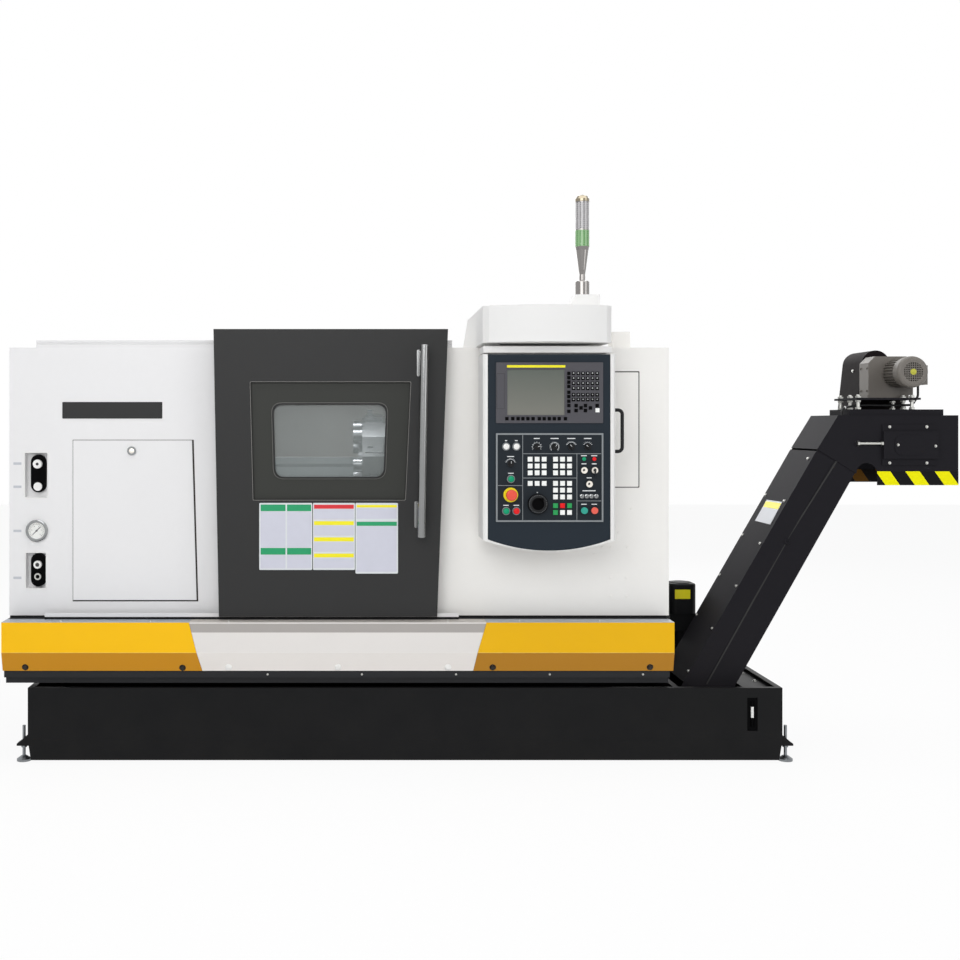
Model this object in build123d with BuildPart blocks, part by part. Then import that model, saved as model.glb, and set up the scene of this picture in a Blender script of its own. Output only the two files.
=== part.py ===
from build123d import *
import os
from math import atan2, cos, degrees, hypot, radians, sin, tan

os.makedirs("parts", exist_ok=True)

# Overall sizes of the machine, in millimetres
body_width = 2574
conveyor_reach = 1130
cabinet_depth = 1150
canopy_reach = 300
electrical_depth = 250
overall_length = body_width + conveyor_reach
overall_depth = canopy_reach + cabinet_depth + electrical_depth

# Reference planes, with the floor at zero height
x_left = -overall_length / 2
x_right = x_left + body_width
x_end = overall_length / 2
y_cab = -overall_depth / 2 + canopy_reach
y_cab_back = y_cab + cabinet_depth
y_back = overall_depth / 2

# Heights
cabinet_foot = 550
roof_z = 1595
sill_top = 542
sill_fold = 426
sill_foot = 354
tank_top = 287

# Sheet metal and the gaps between pieces
sheet = 4
thin_sheet = 3
running_gap = 0.05
slide_gap = 0.3
oil_film = 0.02
loose_gap = 5

# Spindle axis and the slanted bed
spindle_y = y_cab + 330
spindle_z = 960
slant = radians(45)
centre_height = 260
way_y = spindle_y + centre_height * sin(slant)
way_z = spindle_z - centre_height * cos(slant)

# Doorway between the two cabinets
left_cabinet_width = 870
doorway_width = 760
x_doorway = x_left + left_cabinet_width
x_doorway_end = x_doorway + doorway_width

# Canopy beside the doorway, and the roof that is left free to its right
canopy_width = 477
canopy_left = x_doorway_end + 193
canopy_right = canopy_left + canopy_width
free_roof = x_right - canopy_right


def facing(y):
    # Drawing plane at depth y that faces the front: x to the right, height upwards
    return Plane.XZ.offset(-y)


def section(x):
    # Drawing plane across the machine at x: depth to the right, height upwards
    return Plane.YZ.offset(x)


def way_plane(height=0):
    # Drawing plane parallel to the slanted ways: x along the machine, y up the slope
    up = (0, -sin(slant), cos(slant))
    origin = (0, way_y + height * up[1], way_z + height * up[2])
    return Plane(origin=origin, x_dir=(1, 0, 0), z_dir=up)


def way_section(x):
    # Drawing plane across the bed at x: x up the slope, y square to the ways
    return Plane(origin=(x, way_y, way_z), x_dir=(0, cos(slant), sin(slant)), z_dir=(1, 0, 0))


def span(x0, x1, y0, y1, mode=Mode.ADD):
    # Rectangle in the current sketch between two pairs of limits
    with Locations(((x0 + x1) / 2, (y0 + y1) / 2)):
        Rectangle(abs(x1 - x0), abs(y1 - y0), mode=mode)


def folded(points, thickness):
    # Outline of a sheet folded along the points, its thickness on their left side
    inner = []
    for i, (x, y) in enumerate(points):
        before = points[max(i - 1, 0)]
        after = points[min(i + 1, len(points) - 1)]
        a = (x - before[0], y - before[1]) if i > 0 else (after[0] - x, after[1] - y)
        b = (after[0] - x, after[1] - y) if i < len(points) - 1 else a
        a = (a[0] / hypot(*a), a[1] / hypot(*a))
        b = (b[0] / hypot(*b), b[1] / hypot(*b))
        share = thickness / (1 + a[0] * b[0] + a[1] * b[1])
        inner.append((x - (a[1] + b[1]) * share, y + (a[0] + b[0]) * share))
    return points + inner[::-1]


def taper_outline(left_top, right_top, left_foot, right_foot, foot, top, inset=0):
    # Four corners of an upright panel whose sides lean, drawn in by an inset
    lean_left = (left_foot - left_top) / (top - foot)
    lean_right = (right_foot - right_top) / (top - foot)
    return [
        (left_top + inset + lean_left * inset, top - inset),
        (right_top - inset + lean_right * inset, top - inset),
        (right_foot - inset - lean_right * inset, foot + inset),
        (left_foot + inset - lean_left * inset, foot + inset),
    ]


# Bed casting: a slanted casting with box ways and cored windows in its back
bed_left = x_left + 100
bed_right = x_right - 124
bed_front = y_cab + 472
bed_back = y_cab_back - 20
bed_foot = 60
ledge_z = 1142
bed_lip_z = way_z + (bed_front - way_y) * tan(slant)
ledge_y = way_y + (ledge_z - way_z) / tan(slant)
core_count = 4
core_pitch = 560
core_width = 440
core_height = 600
core_depth = 480
way_height = 20
way_left = x_left + 950
tail_ways = (-32, 72)
saddle_ways = (170, 478)
way_width = 40

with BuildPart() as bed_casting:
    with BuildSketch(section(bed_left)):
        Polygon(
            (bed_front, bed_foot),
            (bed_back, bed_foot),
            (bed_back, ledge_z),
            (ledge_y, ledge_z),
            (bed_front, bed_lip_z),
            align=None,
        )
    extrude(amount=bed_right - bed_left)
    with BuildSketch(facing(bed_back)):
        with Locations(((bed_left + bed_right) / 2, bed_foot + 120 + core_height / 2)):
            with GridLocations(core_pitch, 0, core_count, 1):
                RectangleRounded(core_width, core_height, 40)
    extrude(amount=core_depth, mode=Mode.SUBTRACT)
    with BuildSketch(way_plane()):
        for height in tail_ways + saddle_ways:
            span(way_left, bed_right, height - way_width / 2, height + way_width / 2)
    extrude(amount=way_height)
bed_casting.part.label = "bed_casting"
export_step(bed_casting.part, "parts/bed_casting.step")

# Coolant tank along the front, with an open top and a deck at its right end
tank_left = x_left + 97
tank_right = x_right + 411
tank_front = y_cab - 90
tank_back = y_cab + 455
tank_foot = 8
tank_band = 80
tank_band_inset = 9
tank_wall = 5
deck_z = 268
deck_left = x_right + 16
rim_width = 22

# Chip conveyor: side outline of its trough and the width between its covers
conveyor_y = y_cab
conveyor_width = 275
trough_left = x_left + 400
trough_foot = 30
trough_depth = 176
incline_foot_x = x_right + 122
incline_top = (x_right + 728, 1106)
ridge_foot_x = x_right + 12
ridge_top = (x_right + 582, 1197)
trough_wall = 4

# Levelling feet of the tank and the bed
tank_foot_x = (tank_left - 24, tank_right + 24)
tank_foot_y = (tank_front + 36, tank_back - 36)
tank_pad_radius = 27
tank_stud_radius = 6
tank_stud_top = 136
lug_bottom = 62
lug_top = 70
bed_pad_radius = 65
bed_stud_radius = 18
bed_foot_x = (bed_left + 150, (bed_left + bed_right) / 2, bed_right - 150)
bed_foot_y = (bed_front + 70, bed_back - 70)


def levelling_foot(x, y, pad_radius, stud_radius, stud_top, nuts):
    # One pad, its stud and the nuts that hold the carried plate
    pad_height = pad_radius * 0.75
    with Locations((x, y, 0)):
        Cylinder(pad_radius, pad_height * 0.4, align=(Align.CENTER, Align.CENTER, Align.MIN))
    with Locations((x, y, pad_height * 0.4)):
        Cone(pad_radius, stud_radius * 1.6, pad_height * 0.6, align=(Align.CENTER, Align.CENTER, Align.MIN))
    with Locations((x, y, pad_height)):
        Cylinder(stud_radius, stud_top - pad_height, align=(Align.CENTER, Align.CENTER, Align.MIN))
    for height, thickness in nuts:
        with BuildSketch(Plane.XY.offset(height)) as nut:
            with Locations((x, y)):
                RegularPolygon(stud_radius * 1.9, 6)
        extrude(to_extrude=nut.sketch, amount=thickness)


with BuildPart() as levelling_feet:
    nut_height = 10
    for x in tank_foot_x:
        for y in tank_foot_y:
            nuts = ((lug_bottom - nut_height, nut_height), (lug_top, nut_height))
            levelling_foot(x, y, tank_pad_radius, tank_stud_radius, tank_stud_top, nuts)
    for x in bed_foot_x:
        for y in bed_foot_y:
            levelling_foot(x, y, bed_pad_radius, bed_stud_radius, bed_foot, ())
levelling_feet.part.label = "levelling_feet"
export_step(levelling_feet.part, "parts/levelling_feet.step")

gauge_x = x_right + 296
gauge_z = 186
gauge_width = 40
gauge_height = 127
deck_slot = (x_right + 38, x_right + 286)

with BuildPart() as coolant_tank:
    with BuildSketch(Plane.XY.offset(tank_foot)):
        span(
            tank_left + tank_band_inset,
            tank_right - tank_band_inset,
            tank_front + tank_band_inset,
            tank_back - tank_band_inset,
        )
    with BuildSketch(Plane.XY.offset(tank_foot + tank_band)) as full_outline:
        span(tank_left, tank_right, tank_front, tank_back)
    loft()
    extrude(to_extrude=full_outline.sketch, amount=tank_top - tank_foot - tank_band)
    inner = tank_wall + tank_band_inset
    with BuildSketch(Plane.XY.offset(tank_foot + tank_wall)):
        span(tank_left + inner, tank_right - inner, tank_front + inner, tank_back - inner)
    extrude(amount=deck_z, mode=Mode.SUBTRACT)
    with BuildSketch(Plane.XY.offset(tank_foot + tank_band)):
        span(tank_left + tank_wall, tank_right - tank_wall, tank_front + tank_wall, tank_back - tank_wall)
    extrude(amount=tank_top - tank_foot - tank_band, mode=Mode.SUBTRACT)
    # Inward rim, then the deck that closes the right end around the conveyor
    with BuildSketch(Plane.XY.offset(tank_top - sheet)):
        span(tank_left, tank_right, tank_front, tank_back)
        span(
            tank_left + rim_width,
            tank_right - rim_width,
            tank_front + rim_width,
            tank_back - rim_width,
            mode=Mode.SUBTRACT,
        )
    extrude(amount=sheet)
    with BuildSketch(Plane.XY.offset(deck_z)):
        span(deck_left, tank_right - 1, tank_front + 1, tank_back - 1)
        span(*deck_slot, tank_front + rim_width, conveyor_y + conveyor_width + loose_gap, mode=Mode.SUBTRACT)
    extrude(amount=sheet)
    # Lugs with gussets that carry the feet at the four corners
    for x, side in zip(tank_foot_x, (-1, 1)):
        wall = tank_left if side < 0 else tank_right
        for y in tank_foot_y:
            with BuildSketch(Plane.XY.offset(lug_bottom)):
                span(wall - side * 12, x + side * 22, y - 24, y + 24)
                with Locations((x, y)):
                    Circle(tank_stud_radius + slide_gap, mode=Mode.SUBTRACT)
            extrude(amount=lug_top - lug_bottom)
            for rib in (y - 24, y + 19):
                with BuildSketch(facing(rib + 5)):
                    Polygon(
                        (wall - side * 1, lug_top),
                        (x + side * 20, lug_top),
                        (wall - side * 1, lug_top + 38),
                        align=None,
                    )
                extrude(amount=5)
    # Window for the level gauge
    with BuildSketch(facing(tank_front + tank_wall)):
        with Locations((gauge_x, gauge_z)):
            Rectangle(gauge_width, gauge_height)
    extrude(amount=tank_wall, mode=Mode.SUBTRACT)
coolant_tank.part.label = "coolant_tank"
export_step(coolant_tank.part, "parts/coolant_tank.step")

# Level gauge in the tank's front wall: a housing that holds an upright sight tube
with BuildPart() as sight_gauge:
    with BuildSketch(facing(tank_front + tank_wall + 6)):
        with Locations((gauge_x, gauge_z)):
            Rectangle(gauge_width + 20, gauge_height + 20)
    extrude(amount=6)
    with BuildSketch(facing(tank_front + tank_wall)):
        with Locations((gauge_x, gauge_z)):
            Rectangle(gauge_width - 2, gauge_height - 2)
            RectangleRounded(16, gauge_height - 26, 7.9, mode=Mode.SUBTRACT)
    extrude(amount=tank_wall - 2)
    with Locations((gauge_x, tank_front + tank_wall - 1.5, gauge_z)):
        Cylinder(5, gauge_height - 30)
sight_gauge.part.label = "sight_gauge"
export_step(sight_gauge.part, "parts/sight_gauge.step")

# Coolant pump on the deck behind the conveyor: motor, junction box, column and outlet
pump_x = x_right + 149
pump_y = y_cab + 385
pump_radius = 57
pump_motor_z = 503
pump_box_z = 428
pump_top = 628

with BuildPart() as coolant_pump:
    with BuildSketch(Plane.XY.offset(deck_z + sheet)):
        with Locations((pump_x, pump_y)):
            RectangleRounded(116, 100, 12)
    extrude(amount=10)
    with BuildSketch(Plane.XY.offset(deck_z + sheet + 10)):
        with Locations((pump_x, pump_y)):
            Circle(34)
    extrude(amount=pump_box_z - deck_z - sheet - 10)
    with BuildSketch(Plane.XY.offset(pump_box_z)):
        with Locations((pump_x + 2, pump_y)):
            RectangleRounded(108, 92, 6)
    extrude(amount=pump_motor_z - pump_box_z)
    with BuildSketch(Plane.XY.offset(pump_motor_z)):
        with Locations((pump_x, pump_y)):
            RectangleRounded(2 * pump_radius, 2 * pump_radius, 30)
    extrude(amount=pump_top - pump_motor_z)
    top_edges = coolant_pump.edges().group_by(Axis.Z)[-1]
    fillet(top_edges, 8)
    # Outlet elbow towards the machine
    with BuildSketch(section(pump_x - 95)):
        with Locations((pump_y, 350)):
            Circle(16)
    extrude(amount=95)
    with BuildSketch(section(pump_x - 95)):
        with Locations((pump_y, 350)):
            RegularPolygon(24, 6)
    extrude(amount=22)
coolant_pump.part.label = "coolant_pump"
export_step(coolant_pump.part, "parts/coolant_pump.step")

# Conveyor trough: a folded channel that runs under the chute and climbs to the head
trough_outline = [
    (trough_left, trough_foot),
    (incline_foot_x, trough_foot),
    incline_top,
    ridge_top,
    (ridge_foot_x, trough_foot + trough_depth),
    (trough_left, trough_foot + trough_depth),
]
trough_y0 = conveyor_y + thin_sheet
trough_y1 = conveyor_y + conveyor_width - thin_sheet
incline_angle = atan2(ridge_top[1] - trough_foot - trough_depth, ridge_top[0] - ridge_foot_x)
along = (cos(incline_angle), sin(incline_angle))
outward = (-sin(incline_angle), cos(incline_angle))


def on_ridge(distance, height=0):
    # Point along the ridge, measured up from its foot, and out from its surface
    x = ridge_foot_x + along[0] * distance + outward[0] * height
    z = trough_foot + trough_depth + along[1] * distance + outward[1] * height
    return (x, z)


ridge_length = hypot(ridge_top[0] - ridge_foot_x, ridge_top[1] - trough_foot - trough_depth)
cover_start = 96
cover_end = ridge_length - 8

with BuildPart() as conveyor_housing:
    with BuildSketch(facing(trough_y1)):
        Polygon(*trough_outline, align=None)
    extrude(amount=trough_y1 - trough_y0)
    with BuildSketch(facing(trough_y1 - trough_wall)):
        Polygon(*trough_outline, align=None)
        offset(amount=-trough_wall, mode=Mode.REPLACE, kind=Kind.INTERSECTION)
    extrude(amount=trough_y1 - trough_y0 - 2 * trough_wall, mode=Mode.SUBTRACT)
    # Skids that carry the trough on the tank's floor
    for x in (trough_left + 80, incline_foot_x - 140):
        with BuildSketch(Plane.XY.offset(tank_foot + tank_wall)):
            span(x - 30, x + 30, trough_y0 + 20, trough_y1 - 20)
        extrude(amount=trough_foot - tank_foot - tank_wall + 1)
    # The top is open under the chute and along the incline, and the upper end is open
    open_top = [
        (trough_left + trough_wall, trough_foot + trough_depth - 2 * trough_wall),
        (trough_left + trough_wall, trough_foot + trough_depth + trough_wall),
        on_ridge(0, trough_wall),
        on_ridge(ridge_length + 20, trough_wall),
        (incline_top[0] + 20, incline_top[1] + trough_wall),
        (incline_top[0] - 3, incline_top[1] + 0),
        on_ridge(ridge_length - 8, -40),
        on_ridge(0, -2 * trough_wall),
    ]
    with BuildSketch(facing(trough_y1 - trough_wall)):
        Polygon(*open_top, align=None)
    extrude(amount=trough_y1 - trough_y0 - 2 * trough_wall, mode=Mode.SUBTRACT)
conveyor_housing.part.label = "conveyor_housing"
export_step(conveyor_housing.part, "parts/conveyor_housing.step")

# Conveyor cover: a lid over the incline with a flange down each side
flange_depth = 72
with BuildPart() as conveyor_cover:
    with BuildSketch(facing(conveyor_y + conveyor_width)):
        Polygon(
            on_ridge(cover_start, oil_film),
            on_ridge(cover_end, oil_film),
            on_ridge(cover_end, thin_sheet),
            on_ridge(cover_start, thin_sheet),
            align=None,
        )
    extrude(amount=conveyor_width)
    for y in (conveyor_y + thin_sheet, conveyor_y + conveyor_width):
        with BuildSketch(facing(y)):
            Polygon(
                on_ridge(cover_start, -flange_depth),
                on_ridge(cover_end, -flange_depth),
                on_ridge(cover_end, thin_sheet),
                on_ridge(cover_start, thin_sheet),
                align=None,
            )
        extrude(amount=thin_sheet)
conveyor_cover.part.label = "conveyor_cover"
export_step(conveyor_cover.part, "parts/conveyor_cover.step")

# Conveyor head: hood over the top of the incline, open below where the chips drop out
head_top = 1331
head_foot = 1058
hood_x = x_right + 661
arch_x = x_right + 773
arch_z = 1104
arch_radius = 41
lid_x = (x_right + 708, x_right + 1074)
lid_top = 1354
shaft_x = x_right + 936
shaft_z = 1215
shaft_radius = 15
slot_half = 30

with BuildPart() as conveyor_head:
    head_outline = [
        on_ridge(ridge_length + slide_gap, thin_sheet),
        (hood_x, head_top),
        (x_end, head_top),
        (x_end, head_foot),
        (incline_top[0] + 6, head_foot),
        (incline_top[0] + along[0] * slide_gap, incline_top[1] + along[1] * slide_gap),
    ]
    with BuildSketch(facing(conveyor_y + conveyor_width)):
        Polygon(*head_outline, align=None)
    extrude(amount=conveyor_width)
    # Hollow, open at the foot and towards the incline
    head_inside = [
        on_ridge(ridge_length - 40, 0),
        (hood_x + 2, head_top - sheet),
        (x_end - sheet, head_top - sheet),
        (x_end - sheet, head_foot - 10),
        (incline_top[0] - 10, head_foot - 10),
        (incline_top[0] - 60, incline_top[1] - 20),
    ]
    with BuildSketch(facing(conveyor_y + conveyor_width - sheet)):
        Polygon(*head_inside, align=None)
    extrude(amount=conveyor_width - 2 * sheet, mode=Mode.SUBTRACT)
    # Arched cut in the near plate, where the incline meets the shroud
    with BuildSketch(facing(conveyor_y + sheet)):
        with Locations((arch_x, arch_z)):
            Circle(arch_radius)
        span(arch_x - arch_radius - 20, arch_x + arch_radius, head_foot - 5, arch_z)
    extrude(amount=sheet, mode=Mode.SUBTRACT)
    # Raised lid on top
    with BuildSketch(Plane.XY.offset(head_top)):
        span(*lid_x, conveyor_y + 5, conveyor_y + 200)
    extrude(amount=lid_top - head_top)
    # Holes for the shaft in both side plates
    with BuildSketch(facing(conveyor_y + conveyor_width)):
        with Locations((shaft_x, shaft_z)):
            Circle(slot_half)
    extrude(amount=conveyor_width, mode=Mode.SUBTRACT)
conveyor_head.part.label = "conveyor_head"
export_step(conveyor_head.part, "parts/conveyor_head.step")

# Brackets on the head: bearing plates on both sides, the tension screw and the motor plate
plate_z = 1391
plate_thick = 8
plate_x = (x_right + 726, x_right + 974)
plate_y = (conveyor_y - 20, conveyor_y + 198)
back_plate = (209, 159)
slider_plate = (215, 107)
slider_thick = 8
stud_x = (plate_x[0] + 18, plate_x[1] - 20)
stud_y = (conveyor_y + 12, conveyor_y + 86, conveyor_y + 178)
guard_y = (conveyor_y + 205, conveyor_y + 395)

with BuildPart() as conveyor_brackets:
    # Near side
    with BuildSketch(facing(conveyor_y)):
        with Locations((shaft_x, shaft_z)):
            Rectangle(*back_plate)
    extrude(amount=sheet)
    with BuildSketch(facing(conveyor_y - sheet)):
        with Locations((shaft_x + 5, shaft_z)):
            Rectangle(*slider_plate)
    extrude(amount=slider_thick)
    with BuildSketch(facing(conveyor_y - sheet - slider_thick)):
        with Locations((shaft_x, shaft_z)):
            RectangleRounded(120, 78, 30)
    extrude(amount=2)
    with BuildSketch(facing(conveyor_y + sheet + 6)):
        with Locations((shaft_x, shaft_z)):
            Circle(slot_half - 1)
    extrude(amount=sheet + 8)
    with BuildSketch(facing(conveyor_y + sheet + 6)):
        with Locations((shaft_x, shaft_z)):
            Circle(shaft_radius + running_gap)
    extrude(amount=sheet + 12, mode=Mode.SUBTRACT)
    # Tension screw into the slider plate's left edge
    with BuildSketch(section(shaft_x - 197)):
        with Locations((conveyor_y - sheet - slider_thick / 2 - 1, shaft_z + 6)):
            Circle(4.5)
    extrude(amount=95)
    for x, thickness in ((shaft_x - 204, 7), (shaft_x - 112, 8)):
        with BuildSketch(section(x)):
            with Locations((conveyor_y - sheet - slider_thick / 2 - 1, shaft_z + 6)):
                RegularPolygon(8.5, 6)
        extrude(amount=thickness)
    # Far side
    with BuildSketch(facing(conveyor_y + conveyor_width + sheet)):
        with Locations((shaft_x, shaft_z)):
            Rectangle(90, 110)
            Circle(shaft_radius + running_gap, mode=Mode.SUBTRACT)
    extrude(amount=sheet)
    # Motor plate on its studs
    with BuildSketch(Plane.XY.offset(plate_z)):
        span(*plate_x, *plate_y)
    extrude(amount=plate_thick)
    for x in stud_x:
        for y in stud_y:
            with Locations((x, y, lid_top)):
                Cylinder(6, 57, align=(Align.CENTER, Align.CENTER, Align.MIN))
            for z in (lid_top, plate_z - 8, plate_z + plate_thick):
                with BuildSketch(Plane.XY.offset(z)) as stud_nut:
                    with Locations((x, y)):
                        RegularPolygon(11, 6)
                extrude(to_extrude=stud_nut.sketch, amount=8)
conveyor_brackets.part.label = "conveyor_brackets"
export_step(conveyor_brackets.part, "parts/conveyor_brackets.step")

# Gear motor: gear case on its foot, finned motor body, fan cover with its grille, terminal box
motor_x = shaft_x
motor_z = 1499
motor_radius = 48
fin_radius = 56
cover_radius = 61
motor_y = (conveyor_y - 40, conveyor_y + 4, conveyor_y + 108, conveyor_y + 192)
case_x = (motor_x - 110, motor_x + 68)
case_z = (plate_z + plate_thick, 1567)
output_x = motor_x - 38
output_z = 1540
output_radius = 12
fin_count = 28

with BuildPart() as gear_motor:
    # Gear case with chamfered flanks on a foot
    with BuildSketch(facing(motor_y[3])):
        span(*case_x, case_z[0] + 14, case_z[1])
        chamfer(vertices().group_by(Axis.Y)[-1], 26)
    extrude(amount=motor_y[3] - motor_y[2])
    with BuildSketch(Plane.XY.offset(case_z[0])):
        span(case_x[0] - 6, case_x[1] - 20, motor_y[2] - 6, motor_y[3] - 30)
    extrude(amount=14)
    # Motor body and its cooling fins
    with BuildSketch(facing(motor_y[2])):
        with Locations((motor_x, motor_z)):
            Circle(motor_radius)
            with PolarLocations((motor_radius + fin_radius) / 2 - 1, fin_count):
                Rectangle(fin_radius - motor_radius + 2, 3)
    extrude(amount=motor_y[2] - motor_y[1])
    # Fan cover: a domed drum with a round grille
    with BuildSketch(facing(motor_y[1])):
        with Locations((motor_x, motor_z)):
            Circle(cover_radius)
    extrude(amount=motor_y[1] - motor_y[0])
    rim = gear_motor.faces().sort_by(Axis.Y)[0].edges()
    fillet(rim, 14)
    with BuildSketch(facing(motor_y[0])):
        with Locations((motor_x, motor_z)):
            with GridLocations(8.4, 8.4, 9, 9):
                Rectangle(5.6, 5.6)
        with Locations((motor_x, motor_z)):
            Circle(38, mode=Mode.INTERSECT)
            Circle(12, mode=Mode.SUBTRACT)
    extrude(amount=-9, mode=Mode.SUBTRACT)
    # Terminal box on the right flank
    with BuildSketch(section(motor_x + motor_radius - 6)):
        span(motor_y[1] + 12, motor_y[1] + 90, motor_z - 48, motor_z + 28)
    extrude(amount=40)
    # Output shaft and its sprocket behind the gear case
    with BuildSketch(facing(conveyor_y + 350)):
        with Locations((output_x, output_z)):
            Circle(output_radius)
    extrude(amount=conveyor_y + 350 - motor_y[3])
    with BuildSketch(facing(conveyor_y + 340)):
        with Locations((output_x, output_z)):
            Circle(34)
            with PolarLocations(36, 12):
                Circle(5, mode=Mode.SUBTRACT)
    extrude(amount=10)
gear_motor.part.label = "gear_motor"
export_step(gear_motor.part, "parts/gear_motor.step")

# Chain guard: a tapered casing with round ends behind the motor
guard_small = 57
guard_large = 130


def guard_outline(grow):
    # Two discs and the straight flanks that join them
    big, small = guard_large + grow, guard_small + grow
    distance = hypot(output_x - shaft_x, output_z - shaft_z)
    tilt = atan2(output_z - shaft_z, output_x - shaft_x)
    turn = radians(90) - (radians(90) - (big - small) / distance)
    corners = []
    for side in (1, -1):
        angle = tilt + side * (radians(90) - turn)
        ends = [(output_x, output_z, small), (shaft_x, shaft_z, big)]
        for cx, cz, r in ends if side > 0 else ends[::-1]:
            corners.append((cx + r * cos(angle), cz + r * sin(angle)))
    Polygon(*corners, align=None)
    with Locations((output_x, output_z)):
        Circle(small)
    with Locations((shaft_x, shaft_z)):
        Circle(big)


with BuildPart() as chain_guard:
    with BuildSketch(facing(guard_y[1])):
        guard_outline(0)
    extrude(amount=guard_y[1] - guard_y[0])
    with BuildSketch(facing(guard_y[1] - thin_sheet)):
        guard_outline(-thin_sheet)
    extrude(amount=guard_y[1] - guard_y[0] - 2 * thin_sheet, mode=Mode.SUBTRACT)
    # The casing is cut away where it passes over and behind the head
    with BuildSketch(Plane.XY.offset(head_top)):
        span(hood_x - 40, x_end + 40, guard_y[0] - 5, conveyor_y + conveyor_width + sheet)
    extrude(amount=-400, mode=Mode.SUBTRACT)
    with BuildSketch(facing(guard_y[0] + thin_sheet)):
        with Locations((output_x, output_z)):
            Circle(output_radius + 2)
    extrude(amount=thin_sheet, mode=Mode.SUBTRACT)
chain_guard.part.label = "chain_guard"
export_step(chain_guard.part, "parts/chain_guard.step")

# Conveyor shaft with two belt sprockets in the head and the chain wheel behind it
with BuildPart() as conveyor_shaft:
    with BuildSketch(facing(conveyor_y + 352)):
        with Locations((shaft_x, shaft_z)):
            Circle(shaft_radius)
    extrude(amount=352 + 5)
    for y, radius, teeth in ((60, 72, 10), (230, 72, 10), (340, 96, 24)):
        with BuildSketch(facing(conveyor_y + y)):
            with Locations((shaft_x, shaft_z)):
                Circle(radius)
                with PolarLocations(radius + 2, teeth):
                    Circle(0.16 * radius if teeth < 20 else 0.08 * radius, mode=Mode.SUBTRACT)
        extrude(amount=12)
conveyor_shaft.part.label = "conveyor_shaft"
export_step(conveyor_shaft.part, "parts/conveyor_shaft.step")

# Motor cable from the terminal box, under the motor plate and down into the hood
cable_radius = 4.5
cable_points = [
    (motor_x + 62, motor_y[1] + 50, motor_z - 48),
    (motor_x + 62, motor_y[1] + 50, motor_z - 92),
    (motor_x + 40, motor_y[1] + 52, plate_z - 19),
    (motor_x - 60, motor_y[1] + 46, plate_z - 21),
    (motor_x - 160, motor_y[1] + 48, plate_z - 20),
    (motor_x - 215, motor_y[1] + 46, plate_z - 26),
    (motor_x - 240, motor_y[1] + 46, head_top + 26),
    (motor_x - 240, motor_y[1] + 46, head_top),
]
cable_radii = [22, 22, 60, 60, 30, 16]
with BuildPart() as motor_cables:
    with BuildLine() as cable_line:
        FilletPolyline(*cable_points, radius=cable_radii)
    with BuildSketch(Plane(origin=cable_points[0], z_dir=(0, 0, -1))):
        Circle(cable_radius)
    sweep(path=cable_line.line)
motor_cables.part.label = "motor_cables"
export_step(motor_cables.part, "parts/motor_cables.step")

# Headstock on the slanted bed, bored along the spindle axis
head_left = x_left + 250
head_right = x_left + 850
head_half = 190
head_height = 450
journal_radius = 60
nose_radius = 72
seal_radius = 110

with BuildPart() as headstock:
    with BuildSketch(way_section(head_left)):
        span(-head_half, head_half, oil_film, head_height)
        chamfer(vertices().group_by(Axis.Y)[-1], 70)
    extrude(amount=head_right - head_left)
    with BuildSketch(section(head_right)):
        with Locations((spindle_y, spindle_z)):
            Circle(seal_radius)
            Circle(nose_radius + 4, mode=Mode.SUBTRACT)
    extrude(amount=12)
    with BuildSketch(section(head_left)):
        with Locations((spindle_y, spindle_z)):
            Circle(journal_radius + running_gap)
    extrude(amount=head_right - head_left, mode=Mode.SUBTRACT)
headstock.part.label = "headstock"
export_step(headstock.part, "parts/headstock.step")

# Hollow spindle with its grooved pulley at the left end and the chuck nose at the right
bar_radius = 26
spindle_left = x_left + 70
pulley_x = x_left + 130
pulley_rib = 9
pulley_groove = 9
pulley_ribs = 5
chuck_face = x_left + 980
chuck_back = x_left + 885
chuck_radius = 105


def grooved_pulley(radius, y, z):
    # Ribs of a belt pulley in a row along x
    for rib in range(pulley_ribs):
        with Locations((pulley_x + rib * (pulley_rib + pulley_groove), y, z)):
            Cylinder(radius, pulley_rib, rotation=(0, 90, 0), align=(Align.CENTER, Align.CENTER, Align.MIN))
    with Locations((pulley_x, y, z)):
        length = pulley_ribs * (pulley_rib + pulley_groove) - pulley_groove
        Cylinder(radius - 8, length, rotation=(0, 90, 0), align=(Align.CENTER, Align.CENTER, Align.MIN))


with BuildPart() as spindle:
    for x0, x1, radius in (
        (spindle_left, head_left - 20, 44),
        (head_left - 20, head_left - slide_gap, journal_radius + 14),
        (head_left - slide_gap, head_right, journal_radius),
        (head_right, chuck_back, nose_radius),
    ):
        with BuildSketch(section(x0)):
            with Locations((spindle_y, spindle_z)):
                Circle(radius)
        extrude(amount=x1 - x0)
    grooved_pulley(96, spindle_y, spindle_z)
    with BuildSketch(section(spindle_left)):
        with Locations((spindle_y, spindle_z)):
            Circle(bar_radius)
    extrude(amount=chuck_back - spindle_left, mode=Mode.SUBTRACT)
spindle.part.label = "spindle"
export_step(spindle.part, "parts/spindle.step")

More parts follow.
